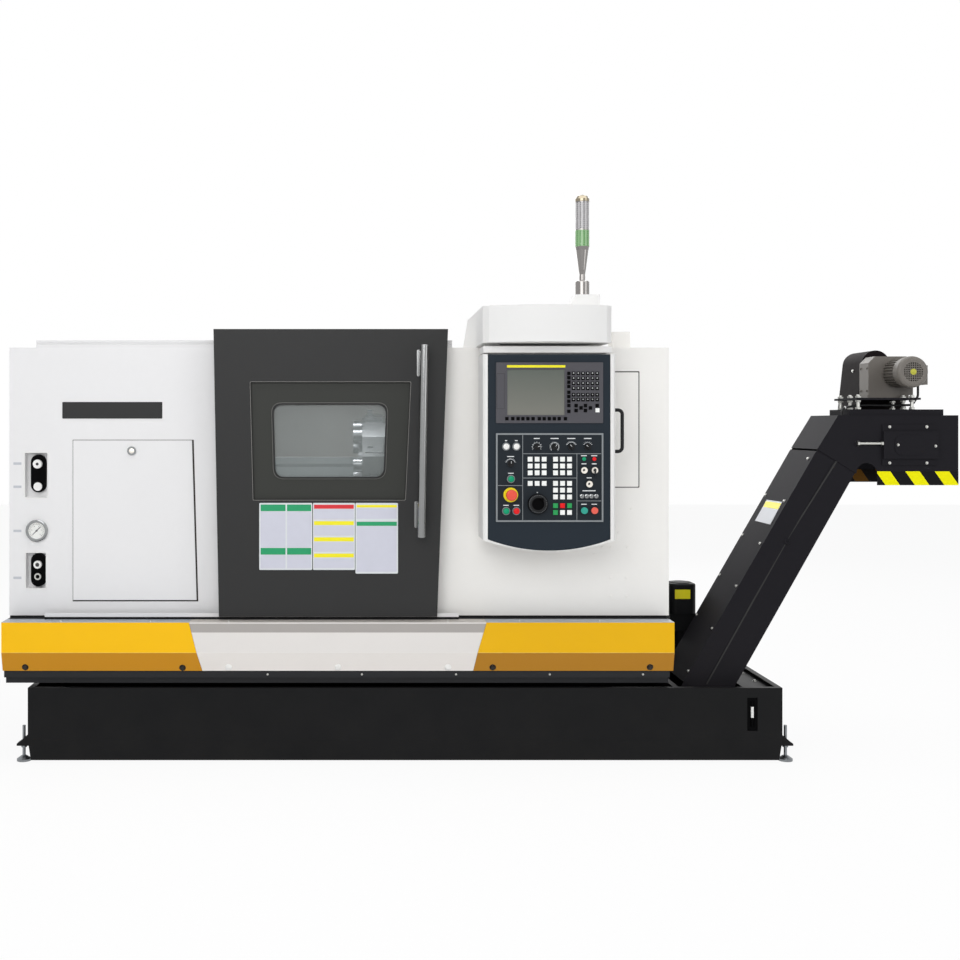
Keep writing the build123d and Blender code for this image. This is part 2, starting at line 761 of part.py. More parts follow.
# Chuck body with a slot for each of its three jaws
jaw_angles = (90, 210, 330)
jaw_slot = 30
jaw_slot_depth = 25
with BuildPart() as chuck_body:
    with BuildSketch(section(chuck_back)):
        with Locations((spindle_y, spindle_z)):
            Circle(chuck_radius)
    extrude(amount=chuck_face - chuck_back)
    chamfer(chuck_body.edges().filter_by(GeomType.CIRCLE), 4)
    with BuildSketch(section(chuck_back)):
        with Locations((spindle_y, spindle_z)):
            Circle(bar_radius)
    extrude(amount=chuck_face - chuck_back, mode=Mode.SUBTRACT)
    with BuildSketch(section(chuck_face - jaw_slot_depth)):
        with Locations((spindle_y, spindle_z)):
            with PolarLocations(34 + chuck_radius / 2, 3, start_angle=jaw_angles[0]):
                Rectangle(chuck_radius, jaw_slot)
    extrude(amount=jaw_slot_depth, mode=Mode.SUBTRACT)
chuck_body.part.label = "chuck_body"
export_step(chuck_body.part, "parts/chuck_body.step")

# Three stepped chuck jaws, each on a key that runs in its slot
for number, angle in enumerate(jaw_angles, start=1):
    turned = (0, -sin(radians(angle)), cos(radians(angle)))
    jaw_plane = Plane(origin=(chuck_face, spindle_y, spindle_z), x_dir=(1, 0, 0), z_dir=turned)
    with BuildPart() as chuck_jaw:
        with BuildSketch(jaw_plane):
            span(slide_gap - jaw_slot_depth, 0, 40, 98)
        extrude(amount=jaw_slot / 2 - slide_gap, both=True)
        with BuildSketch(jaw_plane):
            Polygon(
                (0, 44),
                (18, 44),
                (18, 36),
                (35, 36),
                (35, 66),
                (22, 66),
                (22, 84),
                (12, 84),
                (12, 100),
                (0, 100),
                align=None,
            )
        extrude(amount=19, both=True)
    chuck_jaw.part.label = f"chuck_jaw_{number}"
    export_step(chuck_jaw.part, f"parts/chuck_jaw_{number}.step")

# Spindle motor on the ledge of the bed, its pulley in line with the spindle's
drive_y = y_cab_back - 160
drive_z = 1292
drive_half = 120
drive_x = (x_left + 270, x_left + 690)
with BuildPart() as spindle_motor:
    with BuildSketch(section(drive_x[0])):
        with Locations((drive_y, drive_z)):
            RectangleRounded(2 * drive_half, 2 * drive_half, 45)
    extrude(amount=drive_x[1] - drive_x[0])
    with BuildSketch(section(drive_x[1])):
        with Locations((drive_y, drive_z)):
            Circle(drive_half - 14)
    extrude(amount=46)
    with BuildSketch(Plane.XY.offset(ledge_z)):
        span(drive_x[0] + 20, drive_x[1] - 20, drive_y - 100, drive_y + 100)
    extrude(amount=drive_z - drive_half - ledge_z + 10)
    with BuildSketch(Plane.XY.offset(drive_z + drive_half - 4)):
        span(drive_x[0] + 60, drive_x[0] + 200, drive_y - 55, drive_y + 55)
    extrude(amount=56)
    with BuildSketch(section(pulley_x)):
        with Locations((drive_y, drive_z)):
            Circle(24)
    extrude(amount=drive_x[0] - pulley_x)
    grooved_pulley(72, drive_y, drive_z)
spindle_motor.part.label = "spindle_motor"
export_step(spindle_motor.part, "parts/spindle_motor.step")

# Saddle on the upper ways, with two rails across it for the cross slide
saddle_x = (x_left + 1490, x_left + 1850)
saddle_s = (140, 508)
saddle_h = (way_height + oil_film, 70)
rail_rise = 20
rail_x = (saddle_x[0] + 60, saddle_x[1] - 60)
rail_half = 20
lip = 10
with BuildPart() as saddle:
    with BuildSketch(way_section(saddle_x[0])):
        span(*saddle_s, *saddle_h)
        inner_way = saddle_ways[0] - way_width / 2 - slide_gap
        outer_way = saddle_ways[1] + way_width / 2 + slide_gap
        span(saddle_s[0], inner_way, 4, way_height + 1)
        span(outer_way, saddle_s[1], 4, way_height + 1)
        span(290, 350, 4, way_height + 1)
    extrude(amount=saddle_x[1] - saddle_x[0])
    with BuildSketch(way_plane(saddle_h[1])):
        for x in rail_x:
            span(x - rail_half, x + rail_half, saddle_s[0] + 6, saddle_s[1] - 6)
    extrude(amount=rail_rise)
saddle.part.label = "saddle"
export_step(saddle.part, "parts/saddle.step")

# Cross slide that carries the turret housing and its motor
turret_s = 283
slide_h = saddle_h[1] + rail_rise + oil_film
housing_x = (x_left + 1485, x_left + 1750)
housing_half = 120
housing_top = 400
hub_radius = 60
hub_depth = 100
with BuildPart() as cross_slide:
    with BuildSketch(way_plane(slide_h)):
        span(rail_x[0] - rail_half - 14, rail_x[1] + rail_half + 14, turret_s - 125, turret_s + 125)
    extrude(amount=40)
    with BuildSketch(way_plane(slide_h - rail_rise + 4)):
        for x, side in zip(rail_x, (-1, 1)):
            inner_x = x + side * (rail_half + slide_gap)
            span(inner_x, inner_x + side * 13, turret_s - 125, turret_s + 125)
    extrude(amount=rail_rise - 3)
    with BuildSketch(way_section(housing_x[0])):
        span(turret_s - housing_half, turret_s + housing_half, slide_h + 30, housing_top)
        chamfer(vertices().group_by(Axis.Y)[-1], 45)
    extrude(amount=housing_x[1] - housing_x[0])
    with BuildSketch(way_section(housing_x[1])):
        with Locations((turret_s, centre_height)):
            Circle(58)
    extrude(amount=120)
    with BuildSketch(way_section(housing_x[0])):
        with Locations((turret_s, centre_height)):
            Circle(hub_radius + running_gap)
    extrude(amount=hub_depth, mode=Mode.SUBTRACT)
cross_slide.part.label = "cross_slide"
export_step(cross_slide.part, "parts/cross_slide.step")

# Twelve-sided turret disc with turning tools and boring holders by turns
turret_x = (x_left + 1380, x_left + 1480)
turret_radius = 165
stations = 12
flat = turret_radius * cos(radians(180 / stations))
holder_length = 38
holder_radius = 27
tool_bore = 13
holder_circle = flat - 30
with BuildPart() as turret_disc:
    with BuildSketch(way_section(turret_x[0])):
        with Locations((turret_s, centre_height)):
            RegularPolygon(turret_radius, stations, rotation=360 / stations / 2)
    extrude(amount=turret_x[1] - turret_x[0])
    with BuildSketch(way_section(turret_x[1])):
        with Locations((turret_s, centre_height)):
            Circle(hub_radius)
    extrude(amount=hub_depth - 5)
    # Tool blocks and their shanks on every second flat
    with BuildSketch(way_section(turret_x[0] + 12)):
        with Locations((turret_s, centre_height)):
            with PolarLocations(flat + 8, stations // 2):
                Rectangle(20, 54)
    extrude(amount=76)
    with BuildSketch(way_section(turret_x[0] + 22)):
        with Locations((turret_s, centre_height)):
            with PolarLocations(flat + 22, stations // 2):
                Rectangle(44, 20)
    extrude(amount=22)
    # Hub cap on the front
    with BuildSketch(way_section(turret_x[0] - 16)):
        with Locations((turret_s, centre_height)):
            Circle(62)
    extrude(amount=16)

# Boring holders on the flats between, each a bored sleeve that stands on the disc's face
with BuildPart() as boring_holders:
    with BuildSketch(way_section(turret_x[0] - holder_length)):
        with Locations((turret_s, centre_height)):
            with PolarLocations(holder_circle, stations // 2, start_angle=360 / stations):
                Circle(holder_radius)
                Circle(tool_bore, mode=Mode.SUBTRACT)
    extrude(amount=holder_length)
turret = Compound(label="turret_disc", children=[turret_disc.part, *boring_holders.part.solids()])
export_step(turret, "parts/turret_disc.step")

# Tailstock on the lower ways with a bored head for the quill
tail_x = (bed_right - 618, bed_right - 368)
quill_radius = 40
with BuildPart() as tailstock:
    with BuildSketch(way_section(tail_x[0])):
        lower_way = tail_ways[0] - way_width / 2 - slide_gap
        upper_way = tail_ways[1] + way_width / 2 + slide_gap
        span(lower_way - lip, upper_way + lip, way_height + oil_film, 62)
        span(lower_way - lip, lower_way, 5, way_height + 1)
        span(upper_way, upper_way + lip, 5, way_height + 1)
        Polygon((-56, 60), (96, 60), (64, centre_height), (-64, centre_height), align=None)
        with Locations((0, centre_height)):
            Circle(64)
    extrude(amount=tail_x[1] - tail_x[0])
    with BuildSketch(section(tail_x[0])):
        with Locations((spindle_y, spindle_z)):
            Circle(quill_radius + running_gap)
    extrude(amount=tail_x[1] - tail_x[0] - 20, mode=Mode.SUBTRACT)
tailstock.part.label = "tailstock"
export_step(tailstock.part, "parts/tailstock.step")

# Quill with its pointed centre
quill_end = tail_x[1] - 40
quill_nose = tail_x[0] - 50
with BuildPart() as quill:
    with BuildSketch(facing(spindle_y)):
        Polygon(
            (quill_end, spindle_z),
            (quill_end, spindle_z + quill_radius),
            (quill_nose, spindle_z + quill_radius),
            (quill_nose - 5, spindle_z + quill_radius - 5),
            (quill_nose - 5, spindle_z + 22),
            (quill_nose - 16, spindle_z + 22),
            (quill_nose - 54, spindle_z + 2),
            (quill_nose - 54, spindle_z),
            align=None,
        )
    revolve(axis=Axis((0, spindle_y, spindle_z), (1, 0, 0)))
quill.part.label = "quill"
export_step(quill.part, "parts/quill.step")

# Left cabinet around the headstock and the spindle motor
partition_x = x_right - 224
access_left = x_left + 250
access_right = (x_left + 713, x_left + 731)
access_top = 1233
access_foot = 610
gauge_centre = (x_left + 109, 881)
upper_pocket = (x_left + 61, x_left + 149, 1010, 1184)
lower_pocket = (x_left + 65, x_left + 143, 656, 794)
pocket_depth = 35
pocket_wall = 3
bar_hole = 60
nose_hole = 100
louvre_count = 9


def bed_clearance(x0, x1, gap):
    # Cuts away sheet metal where the bed casting passes through it
    with BuildSketch(section(x0)) as passage:
        rise = gap / cos(slant)
        front = bed_front - (gap - loose_gap)
        Polygon(
            (front, cabinet_foot - 1),
            (bed_back + loose_gap, cabinet_foot - 1),
            (bed_back + loose_gap, ledge_z + loose_gap),
            (ledge_y - rise, ledge_z + loose_gap),
            (front, bed_lip_z + rise),
            align=None,
        )
    extrude(to_extrude=passage.sketch, amount=x1 - x0, mode=Mode.SUBTRACT)


with BuildPart() as left_cabinet:
    with BuildSketch(Plane.XY.offset(cabinet_foot)):
        span(x_left, x_doorway, y_cab, y_cab_back)
    extrude(amount=roof_z - cabinet_foot)
    with BuildSketch(Plane.XY.offset(cabinet_foot + sheet)):
        span(x_left + sheet, x_doorway - sheet, y_cab + sheet, y_cab_back - sheet)
    extrude(amount=roof_z - cabinet_foot - 2 * sheet, mode=Mode.SUBTRACT)
    bed_clearance(x_left + sheet + 10, x_doorway + 1, loose_gap)
    # Holes for the spindle nose and for the bar stock
    with BuildSketch(section(x_left - 1)):
        with Locations((spindle_y, spindle_z)):
            Circle(bar_hole)
    extrude(amount=sheet + 2, mode=Mode.SUBTRACT)
    with BuildSketch(section(x_doorway - sheet - 1)):
        with Locations((spindle_y, spindle_z)):
            Circle(nose_hole)
    extrude(amount=sheet + 2, mode=Mode.SUBTRACT)
    # Trays behind the two pockets
    for x0, x1, z0, z1 in (upper_pocket, lower_pocket):
        with BuildSketch(facing(y_cab + pocket_depth + pocket_wall)):
            span(x0 - pocket_wall, x1 + pocket_wall, z0 - pocket_wall, z1 + pocket_wall)
        extrude(amount=pocket_depth)
        with BuildSketch(facing(y_cab + pocket_depth)):
            span(x0, x1, z0, z1)
            fillet(vertices(), 4)
        extrude(amount=pocket_depth, mode=Mode.SUBTRACT)
    # Opening behind the access cover, and the hole for the gauge
    with BuildSketch(facing(y_cab + sheet)):
        span(access_left + 12, access_right[0] - 13, access_foot + 12, access_top - 12)
        with Locations(gauge_centre):
            Circle(37)
    extrude(amount=sheet, mode=Mode.SUBTRACT)
    # Air slots in the rear wall
    with BuildSketch(facing(y_cab_back)):
        with Locations((x_left + 225, 1430)):
            with GridLocations(0, 26, 1, louvre_count // 2):
                SlotOverall(260, 9)
    extrude(amount=sheet, mode=Mode.SUBTRACT)
left_cabinet.part.label = "left_cabinet"
export_step(left_cabinet.part, "parts/left_cabinet.step")

# Right cabinet, open towards the doorway, with a partition at the end of the chamber
roof_box_width = 69
roof_box_x = canopy_right + free_roof * 107.5 / 274
roof_box = (roof_box_x - roof_box_width / 2, roof_box_x + roof_box_width / 2)
with BuildPart() as right_cabinet:
    with BuildSketch(Plane.XY.offset(cabinet_foot)):
        span(x_doorway_end, x_right, y_cab, y_cab_back)
    extrude(amount=roof_z - cabinet_foot)
    with BuildSketch(Plane.XY.offset(cabinet_foot + sheet)):
        span(x_doorway_end, x_right - sheet, y_cab + sheet, y_cab_back - sheet)
    extrude(amount=roof_z - cabinet_foot - 2 * sheet, mode=Mode.SUBTRACT)
    with BuildSketch(Plane.XY.offset(cabinet_foot)):
        span(x_doorway_end, partition_x, y_cab + sheet, y_cab_back - sheet)
    extrude(amount=sheet, mode=Mode.SUBTRACT)
    with BuildSketch(section(partition_x)):
        span(y_cab, y_cab_back, cabinet_foot, roof_z)
    extrude(amount=sheet)
    bed_clearance(partition_x - 1, bed_right + loose_gap, way_height + loose_gap)
    with BuildSketch(Plane.XY.offset(roof_z)):
        span(*roof_box, y_cab + 80, y_cab + 170)
    extrude(amount=68)
    with BuildSketch(facing(y_cab_back)):
        with Locations((x_right - 200, 1350)):
            with GridLocations(0, 26, 1, louvre_count):
                SlotOverall(240, 9)
    extrude(amount=sheet, mode=Mode.SUBTRACT)
right_cabinet.part.label = "right_cabinet"
export_step(right_cabinet.part, "parts/right_cabinet.step")

# Chamber sheets, each cut or folded by itself: walls, roof and the funnel over the conveyor
header_z = 1555
chamber_back = y_cab + 900
funnel_slot = (y_cab + 30, y_cab + 260)
funnel_z = 330
funnel_top = 556
funnel_fold = 400
funnel_rear_top = (y_cab + 466, 640)
roof_under = roof_z - sheet
chamber_ends = (x_doorway + thin_sheet, partition_x - thin_sheet)
funnel_front = [(y_cab + sheet, funnel_top), (y_cab + sheet, funnel_fold), (funnel_slot[0], funnel_z)]
funnel_rear = [(funnel_slot[1], funnel_z), funnel_rear_top]
end_foot = funnel_front + funnel_rear


def sheet_between(x0, x1, outline, name):
    # Sheet whose outline across the machine is drawn out from x0 to x1
    with BuildPart() as piece:
        with BuildSketch(section(x0)):
            Polygon(*outline, align=None)
        extrude(amount=x1 - x0)
    piece.part.label = name
    return piece.part


def upright(y0, y1, z0, z1):
    # Corners of an upright sheet seen along the machine
    return [(y0, z0), (y1, z0), (y1, z1), (y0, z1)]


with BuildPart() as left_end:
    with BuildSketch(section(x_doorway)):
        Polygon(
            *end_foot,
            (y_cab + 466, bed_lip_z),
            (ledge_y, ledge_z + loose_gap + 4),
            (chamber_back + thin_sheet, ledge_z + loose_gap + 4),
            (chamber_back + thin_sheet, roof_under),
            (y_cab + sheet, roof_under),
            align=None,
        )
        with Locations((spindle_y, spindle_z)):
            Circle(chuck_radius + 20, mode=Mode.SUBTRACT)
    extrude(amount=thin_sheet)
chamber_sheets = [
    sheet_between(
        x_doorway,
        x_doorway_end,
        upright(y_cab_back - sheet, y_cab_back, cabinet_foot, roof_under),
        "rear sheet",
    ),
    sheet_between(x_doorway, x_doorway_end, upright(y_cab, y_cab_back, roof_under, roof_z), "roof sheet"),
    sheet_between(x_doorway, x_doorway_end, upright(y_cab, y_cab + sheet, header_z, roof_under), "header"),
    sheet_between(
        *chamber_ends,
        upright(chamber_back, chamber_back + thin_sheet, ledge_z, roof_under),
        "chamber back",
    ),
    sheet_between(*chamber_ends, folded(funnel_front, thin_sheet), "funnel front"),
    sheet_between(*chamber_ends, folded(funnel_rear, thin_sheet), "funnel rear"),
    sheet_between(
        partition_x - thin_sheet,
        partition_x,
        [*end_foot, (y_cab + 466, 700), (y_cab + sheet, funnel_top)],
        "funnel end",
    ),
    left_end.part,
]
chamber_liner = Compound(label="chamber_liner", children=chamber_sheets)
export_step(chamber_liner, "parts/chamber_liner.step")

# Sills under the cabinets: folded sheet with slanted joints between the three
sill_reach = 115
sill_profile = [
    (y_cab + sheet, sill_top),
    (y_cab - sill_reach, sill_top),
    (y_cab - sill_reach, sill_fold),
    (y_cab - sill_reach + 18, sill_foot),
    (y_cab - 70, sill_foot),
]
left_joint = ((x_doorway - 153, sill_top), (x_doorway - 124, sill_fold), (x_doorway - 104, sill_foot))
right_joint = (
    (x_doorway_end + 220, sill_top),
    (x_doorway_end + 186, sill_fold),
    (x_doorway_end + 171, sill_foot),
)


def sill_body(x0, x1):
    # Folded sheet between two limits, with the hem that carries the cabinet fronts
    with BuildSketch(section(x0)) as profile:
        Polygon(*folded(sill_profile, thin_sheet), align=None)
        span(y_cab, y_cab + sheet, sill_top - 1, cabinet_foot)
    extrude(to_extrude=profile.sketch, amount=x1 - x0)


def joint_cut(joint, x_far):
    # Removes the sill beyond a slanted joint line
    with BuildSketch(facing(y_cab + sheet + 1)) as beyond:
        Polygon(
            (x_far, cabinet_foot + 1),
            (joint[0][0], cabinet_foot + 1),
            *joint,
            (joint[2][0], sill_foot - 1),
            (x_far, sill_foot - 1),
            align=None,
        )
    extrude(to_extrude=beyond.sketch, amount=sill_reach + 20, mode=Mode.SUBTRACT)


with BuildPart() as sill_left:
    sill_body(x_left + 3, x_doorway - 70)
    joint_cut([(x - 0.5, z) for x, z in left_joint], x_doorway - 60)
    with BuildSketch(section(x_left + 3)):
        Polygon(*sill_profile, (y_cab + sheet, sill_foot), align=None)
    extrude(amount=thin_sheet)
sill_left.part.label = "sill_left"
export_step(sill_left.part, "parts/sill_left.step")

with BuildPart() as sill_centre:
    sill_body(x_doorway - 170, x_doorway_end + 240)
    joint_cut([(x + 0.5, z) for x, z in left_joint], x_doorway - 180)
    joint_cut([(x - 0.5, z) for x, z in right_joint], x_doorway_end + 250)
sill_centre.part.label = "sill_centre"
export_step(sill_centre.part, "parts/sill_centre.step")

with BuildPart() as sill_right:
    sill_body(x_doorway_end + 150, x_right - 9)
    joint_cut([(x + 0.5, z) for x, z in right_joint], x_doorway_end + 140)
    with BuildSketch(section(x_right - 9 - thin_sheet)):
        Polygon(*sill_profile, (y_cab + sheet, sill_foot), align=None)
    extrude(amount=thin_sheet)
sill_right.part.label = "sill_right"
export_step(sill_right.part, "parts/sill_right.step")

# Stepped rail under the sills
with BuildPart() as under_rail:
    rail_profile = [
        (y_cab - 60, sill_foot),
        (y_cab - 85, sill_foot),
        (y_cab - 85, 326),
        (y_cab - 60, 326),
        (y_cab - 60, 300),
        (y_cab + 2, 300),
    ]
    with BuildSketch(section(x_left + 5)):
        Polygon(*folded(rail_profile, thin_sheet), align=None)
    extrude(amount=x_right - 19 - x_left - 5)
under_rail.part.label = "under_rail"
export_step(under_rail.part, "parts/under_rail.step")

# Door rails: the upper one on the roof edge, the lower one on the sills
upper_rail = (x_left + 100, x_doorway_end + 100, y_cab + 20, y_cab + 45)
upper_rail_top = roof_z + 30
lower_rail = (x_left + 150, x_doorway_end + 120, y_cab - 45, y_cab - 35)
with BuildPart() as door_rails:
    with BuildSketch(section(upper_rail[0])):
        span(upper_rail[2], upper_rail[3], roof_z, upper_rail_top)
        for y in (upper_rail[2], upper_rail[3]):
            with Locations((y, roof_z + 17)):
                Circle(4, mode=Mode.SUBTRACT)
    extrude(amount=upper_rail[1] - upper_rail[0])
    with BuildSketch(section(lower_rail[0])):
        span(lower_rail[2], lower_rail[3], sill_top, sill_top + 23)
    extrude(amount=lower_rail[1] - lower_rail[0])
door_rails.part.label = "door_rails"
export_step(door_rails.part, "parts/door_rails.step")

# Sliding door: a folded pan with a stepped window recess, hung on two carriages
door_foot = 556
door_top = 1662
door_front = y_cab - 70
door_rear = y_cab - 12
door_sides = (x_doorway - 65, x_doorway_end + 77, x_doorway - 44, x_doorway_end + 35)
door_limits = (door_foot, door_top)
recess_sides = (x_doorway + 78, x_doorway_end - 68, x_doorway + 90, x_doorway_end - 89)
recess_limits = (1006, 1457)
recess_floor = y_cab - 58
frame_rear = y_cab - 50
pane_sides = (x_doorway + 165, x_doorway_end - 161, x_doorway + 173, x_doorway_end - 171)
pane_limits = (1093, 1371)
pane_corner = 33
pane_overlap = 14
carriage_x = (x_doorway - 20, x_doorway_end - 70)
carriage_length = 100
with BuildPart() as door_panel:
    with BuildSketch(facing(door_rear)):
        Polygon(*taper_outline(*door_sides, *door_limits), align=None)
    extrude(amount=door_rear - door_front)
    with BuildSketch(facing(door_rear - thin_sheet)):
        Polygon(*taper_outline(*door_sides, *door_limits, thin_sheet), align=None)
    extrude(amount=door_rear - door_front - 2 * thin_sheet, mode=Mode.SUBTRACT)
    with BuildSketch(facing(door_rear)):
        Polygon(*taper_outline(*door_sides, *door_limits, 24), align=None)
    extrude(amount=thin_sheet, mode=Mode.SUBTRACT)
    # Window recess, its thick frame and the opening for the pane
    with BuildSketch(facing(frame_rear)):
        Polygon(*taper_outline(*recess_sides, *recess_limits, -thin_sheet), align=None)
    extrude(amount=frame_rear - door_front)
    with BuildSketch(facing(recess_floor)):
        Polygon(*taper_outline(*recess_sides, *recess_limits), align=None)
    extrude(amount=recess_floor - door_front, mode=Mode.SUBTRACT)
    with BuildSketch(facing(frame_rear)):
        Polygon(*taper_outline(*pane_sides, *pane_limits), align=None)
        fillet(vertices(), pane_corner)
    extrude(amount=frame_rear - recess_floor, mode=Mode.SUBTRACT)
    # Cap over the rail: the top and sides of the pan reach back above the roof
    with BuildSketch(facing(y_cab + 60)):
        Polygon(*taper_outline(*door_sides, *door_limits), align=None)
        Polygon(*taper_outline(*door_sides, *door_limits, thin_sheet), align=None, mode=Mode.SUBTRACT)
        span(x_left, x_right, 0, roof_z + 6, mode=Mode.SUBTRACT)
    extrude(amount=y_cab + 60 - door_rear)
    for x in carriage_x:
        with BuildSketch(section(x)):
            span(y_cab + 10, y_cab + 55, roof_z + 6, door_top - 2)
            span(
                upper_rail[2] - slide_gap,
                upper_rail[3] + slide_gap,
                roof_z,
                upper_rail_top + slide_gap,
                mode=Mode.SUBTRACT,
            )
        extrude(amount=carriage_length)
    # Passages for both rails through the folded edges
    for x in (x_doorway - 170, x_doorway_end + 40):
        with BuildSketch(section(x)):
            span(upper_rail[2] - 4, upper_rail[3] + 4, roof_z, upper_rail_top + 4)
        extrude(amount=140, mode=Mode.SUBTRACT)
    with BuildSketch(section(x_doorway - 170)):
        span(lower_rail[2] - 3, lower_rail[3] + 3, sill_top, sill_top + 26)
    extrude(amount=doorway_width + 340, mode=Mode.SUBTRACT)
door_panel.part.label = "door_panel"
export_step(door_panel.part, "parts/door_panel.step")

with BuildPart() as door_glass:
    with BuildSketch(facing(frame_rear + 6)):
        Polygon(*taper_outline(*pane_sides, *pane_limits, -pane_overlap), align=None)
        fillet(vertices(), pane_corner + pane_overlap)
    extrude(amount=6)
door_glass.part.label = "door_glass"
export_step(door_glass.part, "parts/door_glass.step")

# Door handle: a long tube on two bracket plates
handle_foot = (x_doorway_end - 29, 865)
handle_head = (x_doorway_end - 17, 1598)
handle_y = y_cab - 130
handle_radius = 15
handle_lean = (handle_head[0] - handle_foot[0]) / (handle_head[1] - handle_foot[1])
bracket_height = 94
bracket_z = (902, 1484)
with BuildPart() as door_handle:
    lean_plane = Plane(origin=(handle_foot[0], handle_y, handle_foot[1]), z_dir=(handle_lean, 0, 1))
    with BuildSketch(lean_plane):
        Circle(handle_radius)
    extrude(amount=hypot(handle_head[0] - handle_foot[0], handle_head[1] - handle_foot[1]))
    fillet(door_handle.edges().filter_by(GeomType.CIRCLE), 4)
    for z in bracket_z:
        x = handle_foot[0] + handle_lean * (z + bracket_height / 2 - handle_foot[1]) - 8
        with BuildSketch(section(x - 4)):
            span(handle_y + 4, door_front, z, z + bracket_height)
        extrude(amount=8)
        with BuildSketch(facing(door_front)):
            with Locations((x, z + bracket_height / 2)):
                RectangleRounded(34, bracket_height + 8, 5)
        extrude(amount=4)
door_handle.part.label = "door_handle"
export_step(door_handle.part, "parts/door_handle.step")

# Access cover on the left cabinet, hinged along its foot, with a cam lock near its top
lock_x = x_left + 479
lock_z = 1192
lock_stem = 9
lock_reach = 8
with BuildPart() as access_cover:
    with BuildSketch(facing(y_cab)):
        Polygon(
            (access_left, access_top),
            (access_right[0], access_top),
            (access_right[1], access_foot),
            (access_left, access_foot),
            align=None,
        )
        fillet(vertices().group_by(Axis.Y)[-1], 6)
        with Locations((lock_x, lock_z)):
            Circle(lock_stem + running_gap, mode=Mode.SUBTRACT)
    extrude(amount=thin_sheet)
    # Rolled hem along the foot, the edge that the cover tips on
    fillet(access_cover.edges().filter_by(Axis.X).group_by(Axis.Z)[0], thin_sheet / 2 - 0.01)
access_cover.part.label = "access_cover"
export_step(access_cover.part, "parts/access_cover.step")

# Cam lock: a round head in front of the cover and a tongue behind it
with BuildPart() as cam_lock:
    with BuildSketch(facing(y_cab - thin_sheet)):
        with Locations((lock_x, lock_z)):
            Circle(17.5)
    extrude(amount=6)
    with BuildSketch(facing(y_cab - thin_sheet - 6)):
        with Locations((lock_x, lock_z)):
            SlotOverall(24, 4)
    extrude(amount=-2, mode=Mode.SUBTRACT)
    with BuildSketch(facing(y_cab + sheet + lock_reach)):
        with Locations((lock_x, lock_z)):
            Circle(lock_stem)
    extrude(amount=sheet + lock_reach + thin_sheet)
    with BuildSketch(facing(y_cab + sheet + lock_reach)):
        with Locations((lock_x - 17, lock_z)):
            SlotOverall(62, 20)
    extrude(amount=3.5)
cam_lock.part.label = "cam_lock"
export_step(cam_lock.part, "parts/cam_lock.step")

# Pressure gauge: a bezel ring around a sunk dial, its body through the cabinet wall
with BuildPart() as pressure_gauge:
    with BuildSketch(facing(y_cab)):
        with Locations(gauge_centre):
            Circle(42.5)
    extrude(amount=14)
    chamfer(pressure_gauge.edges().group_by(Axis.Y)[0], 3)
    with BuildSketch(facing(y_cab - 14)):
        with Locations(gauge_centre):
            Circle(33)
    extrude(amount=-6, mode=Mode.SUBTRACT)
    with BuildSketch(facing(y_cab - 8)):
        with Locations(gauge_centre):
            with Locations(Location((0, 0), 45)):
                SlotOverall(44, 3.2)
            Circle(4)
    extrude(amount=1.5)
    with BuildSketch(facing(y_cab + 34)):
        with Locations(gauge_centre):
            Circle(36)
    extrude(amount=34)
    with BuildSketch(facing(y_cab + 52)):
        with Locations(gauge_centre):
            RegularPolygon(11, 6)
    extrude(amount=18)
pressure_gauge.part.label = "pressure_gauge"
export_step(pressure_gauge.part, "parts/pressure_gauge.step")

# Valve blocks in the pockets, each with an air port, and the hand knobs in front of them
valve_x = x_left + 108
valve_face = y_cab + 20
knob_stem = 5
upper_knob_z = 1140.5
lower_knob_z = 747
with BuildPart() as valve_blocks:
    for z0, z1, width, knob_z, port_z, port_radius in (
        (1029, 1177, 59, upper_knob_z, 1052, 16),
        (660, 790, 58, lower_knob_z, 700, 13),
    ):
        with BuildSketch(facing(y_cab + pocket_depth)):
            with Locations((valve_x, (z0 + z1) / 2)):
                RectangleRounded(width, z1 - z0, width / 2 - 0.5)
            with Locations((valve_x, knob_z)):
                Circle(knob_stem + running_gap, mode=Mode.SUBTRACT)
        extrude(amount=pocket_depth - 20)
        with BuildSketch(facing(valve_face)):
            with Locations((valve_x, port_z)):
                Circle(port_radius)
                Circle(port_radius / 2, mode=Mode.SUBTRACT)
        extrude(amount=10)
valve_blocks.part.label = "valve_blocks"
export_step(valve_blocks.part, "parts/valve_blocks.step")


def knurled_knob(x, y, z, radius, height, flutes):
    # Fluted knob that stands out towards the front from depth y
    with BuildSketch(facing(y)) as knob:
        with Locations((x, z)):
            Circle(radius)
            with PolarLocations(radius + 1, flutes):
                Circle(2, mode=Mode.SUBTRACT)
    extrude(to_extrude=knob.sketch, amount=height)


with BuildPart() as regulator_knob_upper:
    knurled_knob(valve_x, valve_face - 1, upper_knob_z, 17.5, 16, 16)
    with BuildSketch(facing(y_cab + pocket_depth - 3)):
        with Locations((valve_x, upper_knob_z)):
            Circle(knob_stem)
    extrude(amount=pocket_depth - 3 - 18)
regulator_knob_upper.part.label = "regulator_knob_upper"
export_step(regulator_knob_upper.part, "parts/regulator_knob_upper.step")

with BuildPart() as regulator_knob_lower:
    knurled_knob(valve_x, valve_face - 1, lower_knob_z, 15.5, 14, 14)
    with BuildSketch(facing(y_cab + pocket_depth - 3)):
        with Locations((valve_x, lower_knob_z)):
            Circle(knob_stem)
    extrude(amount=pocket_depth - 3 - 18)
regulator_knob_lower.part.label = "regulator_knob_lower"
export_step(regulator_knob_lower.part, "parts/regulator_knob_lower.step")

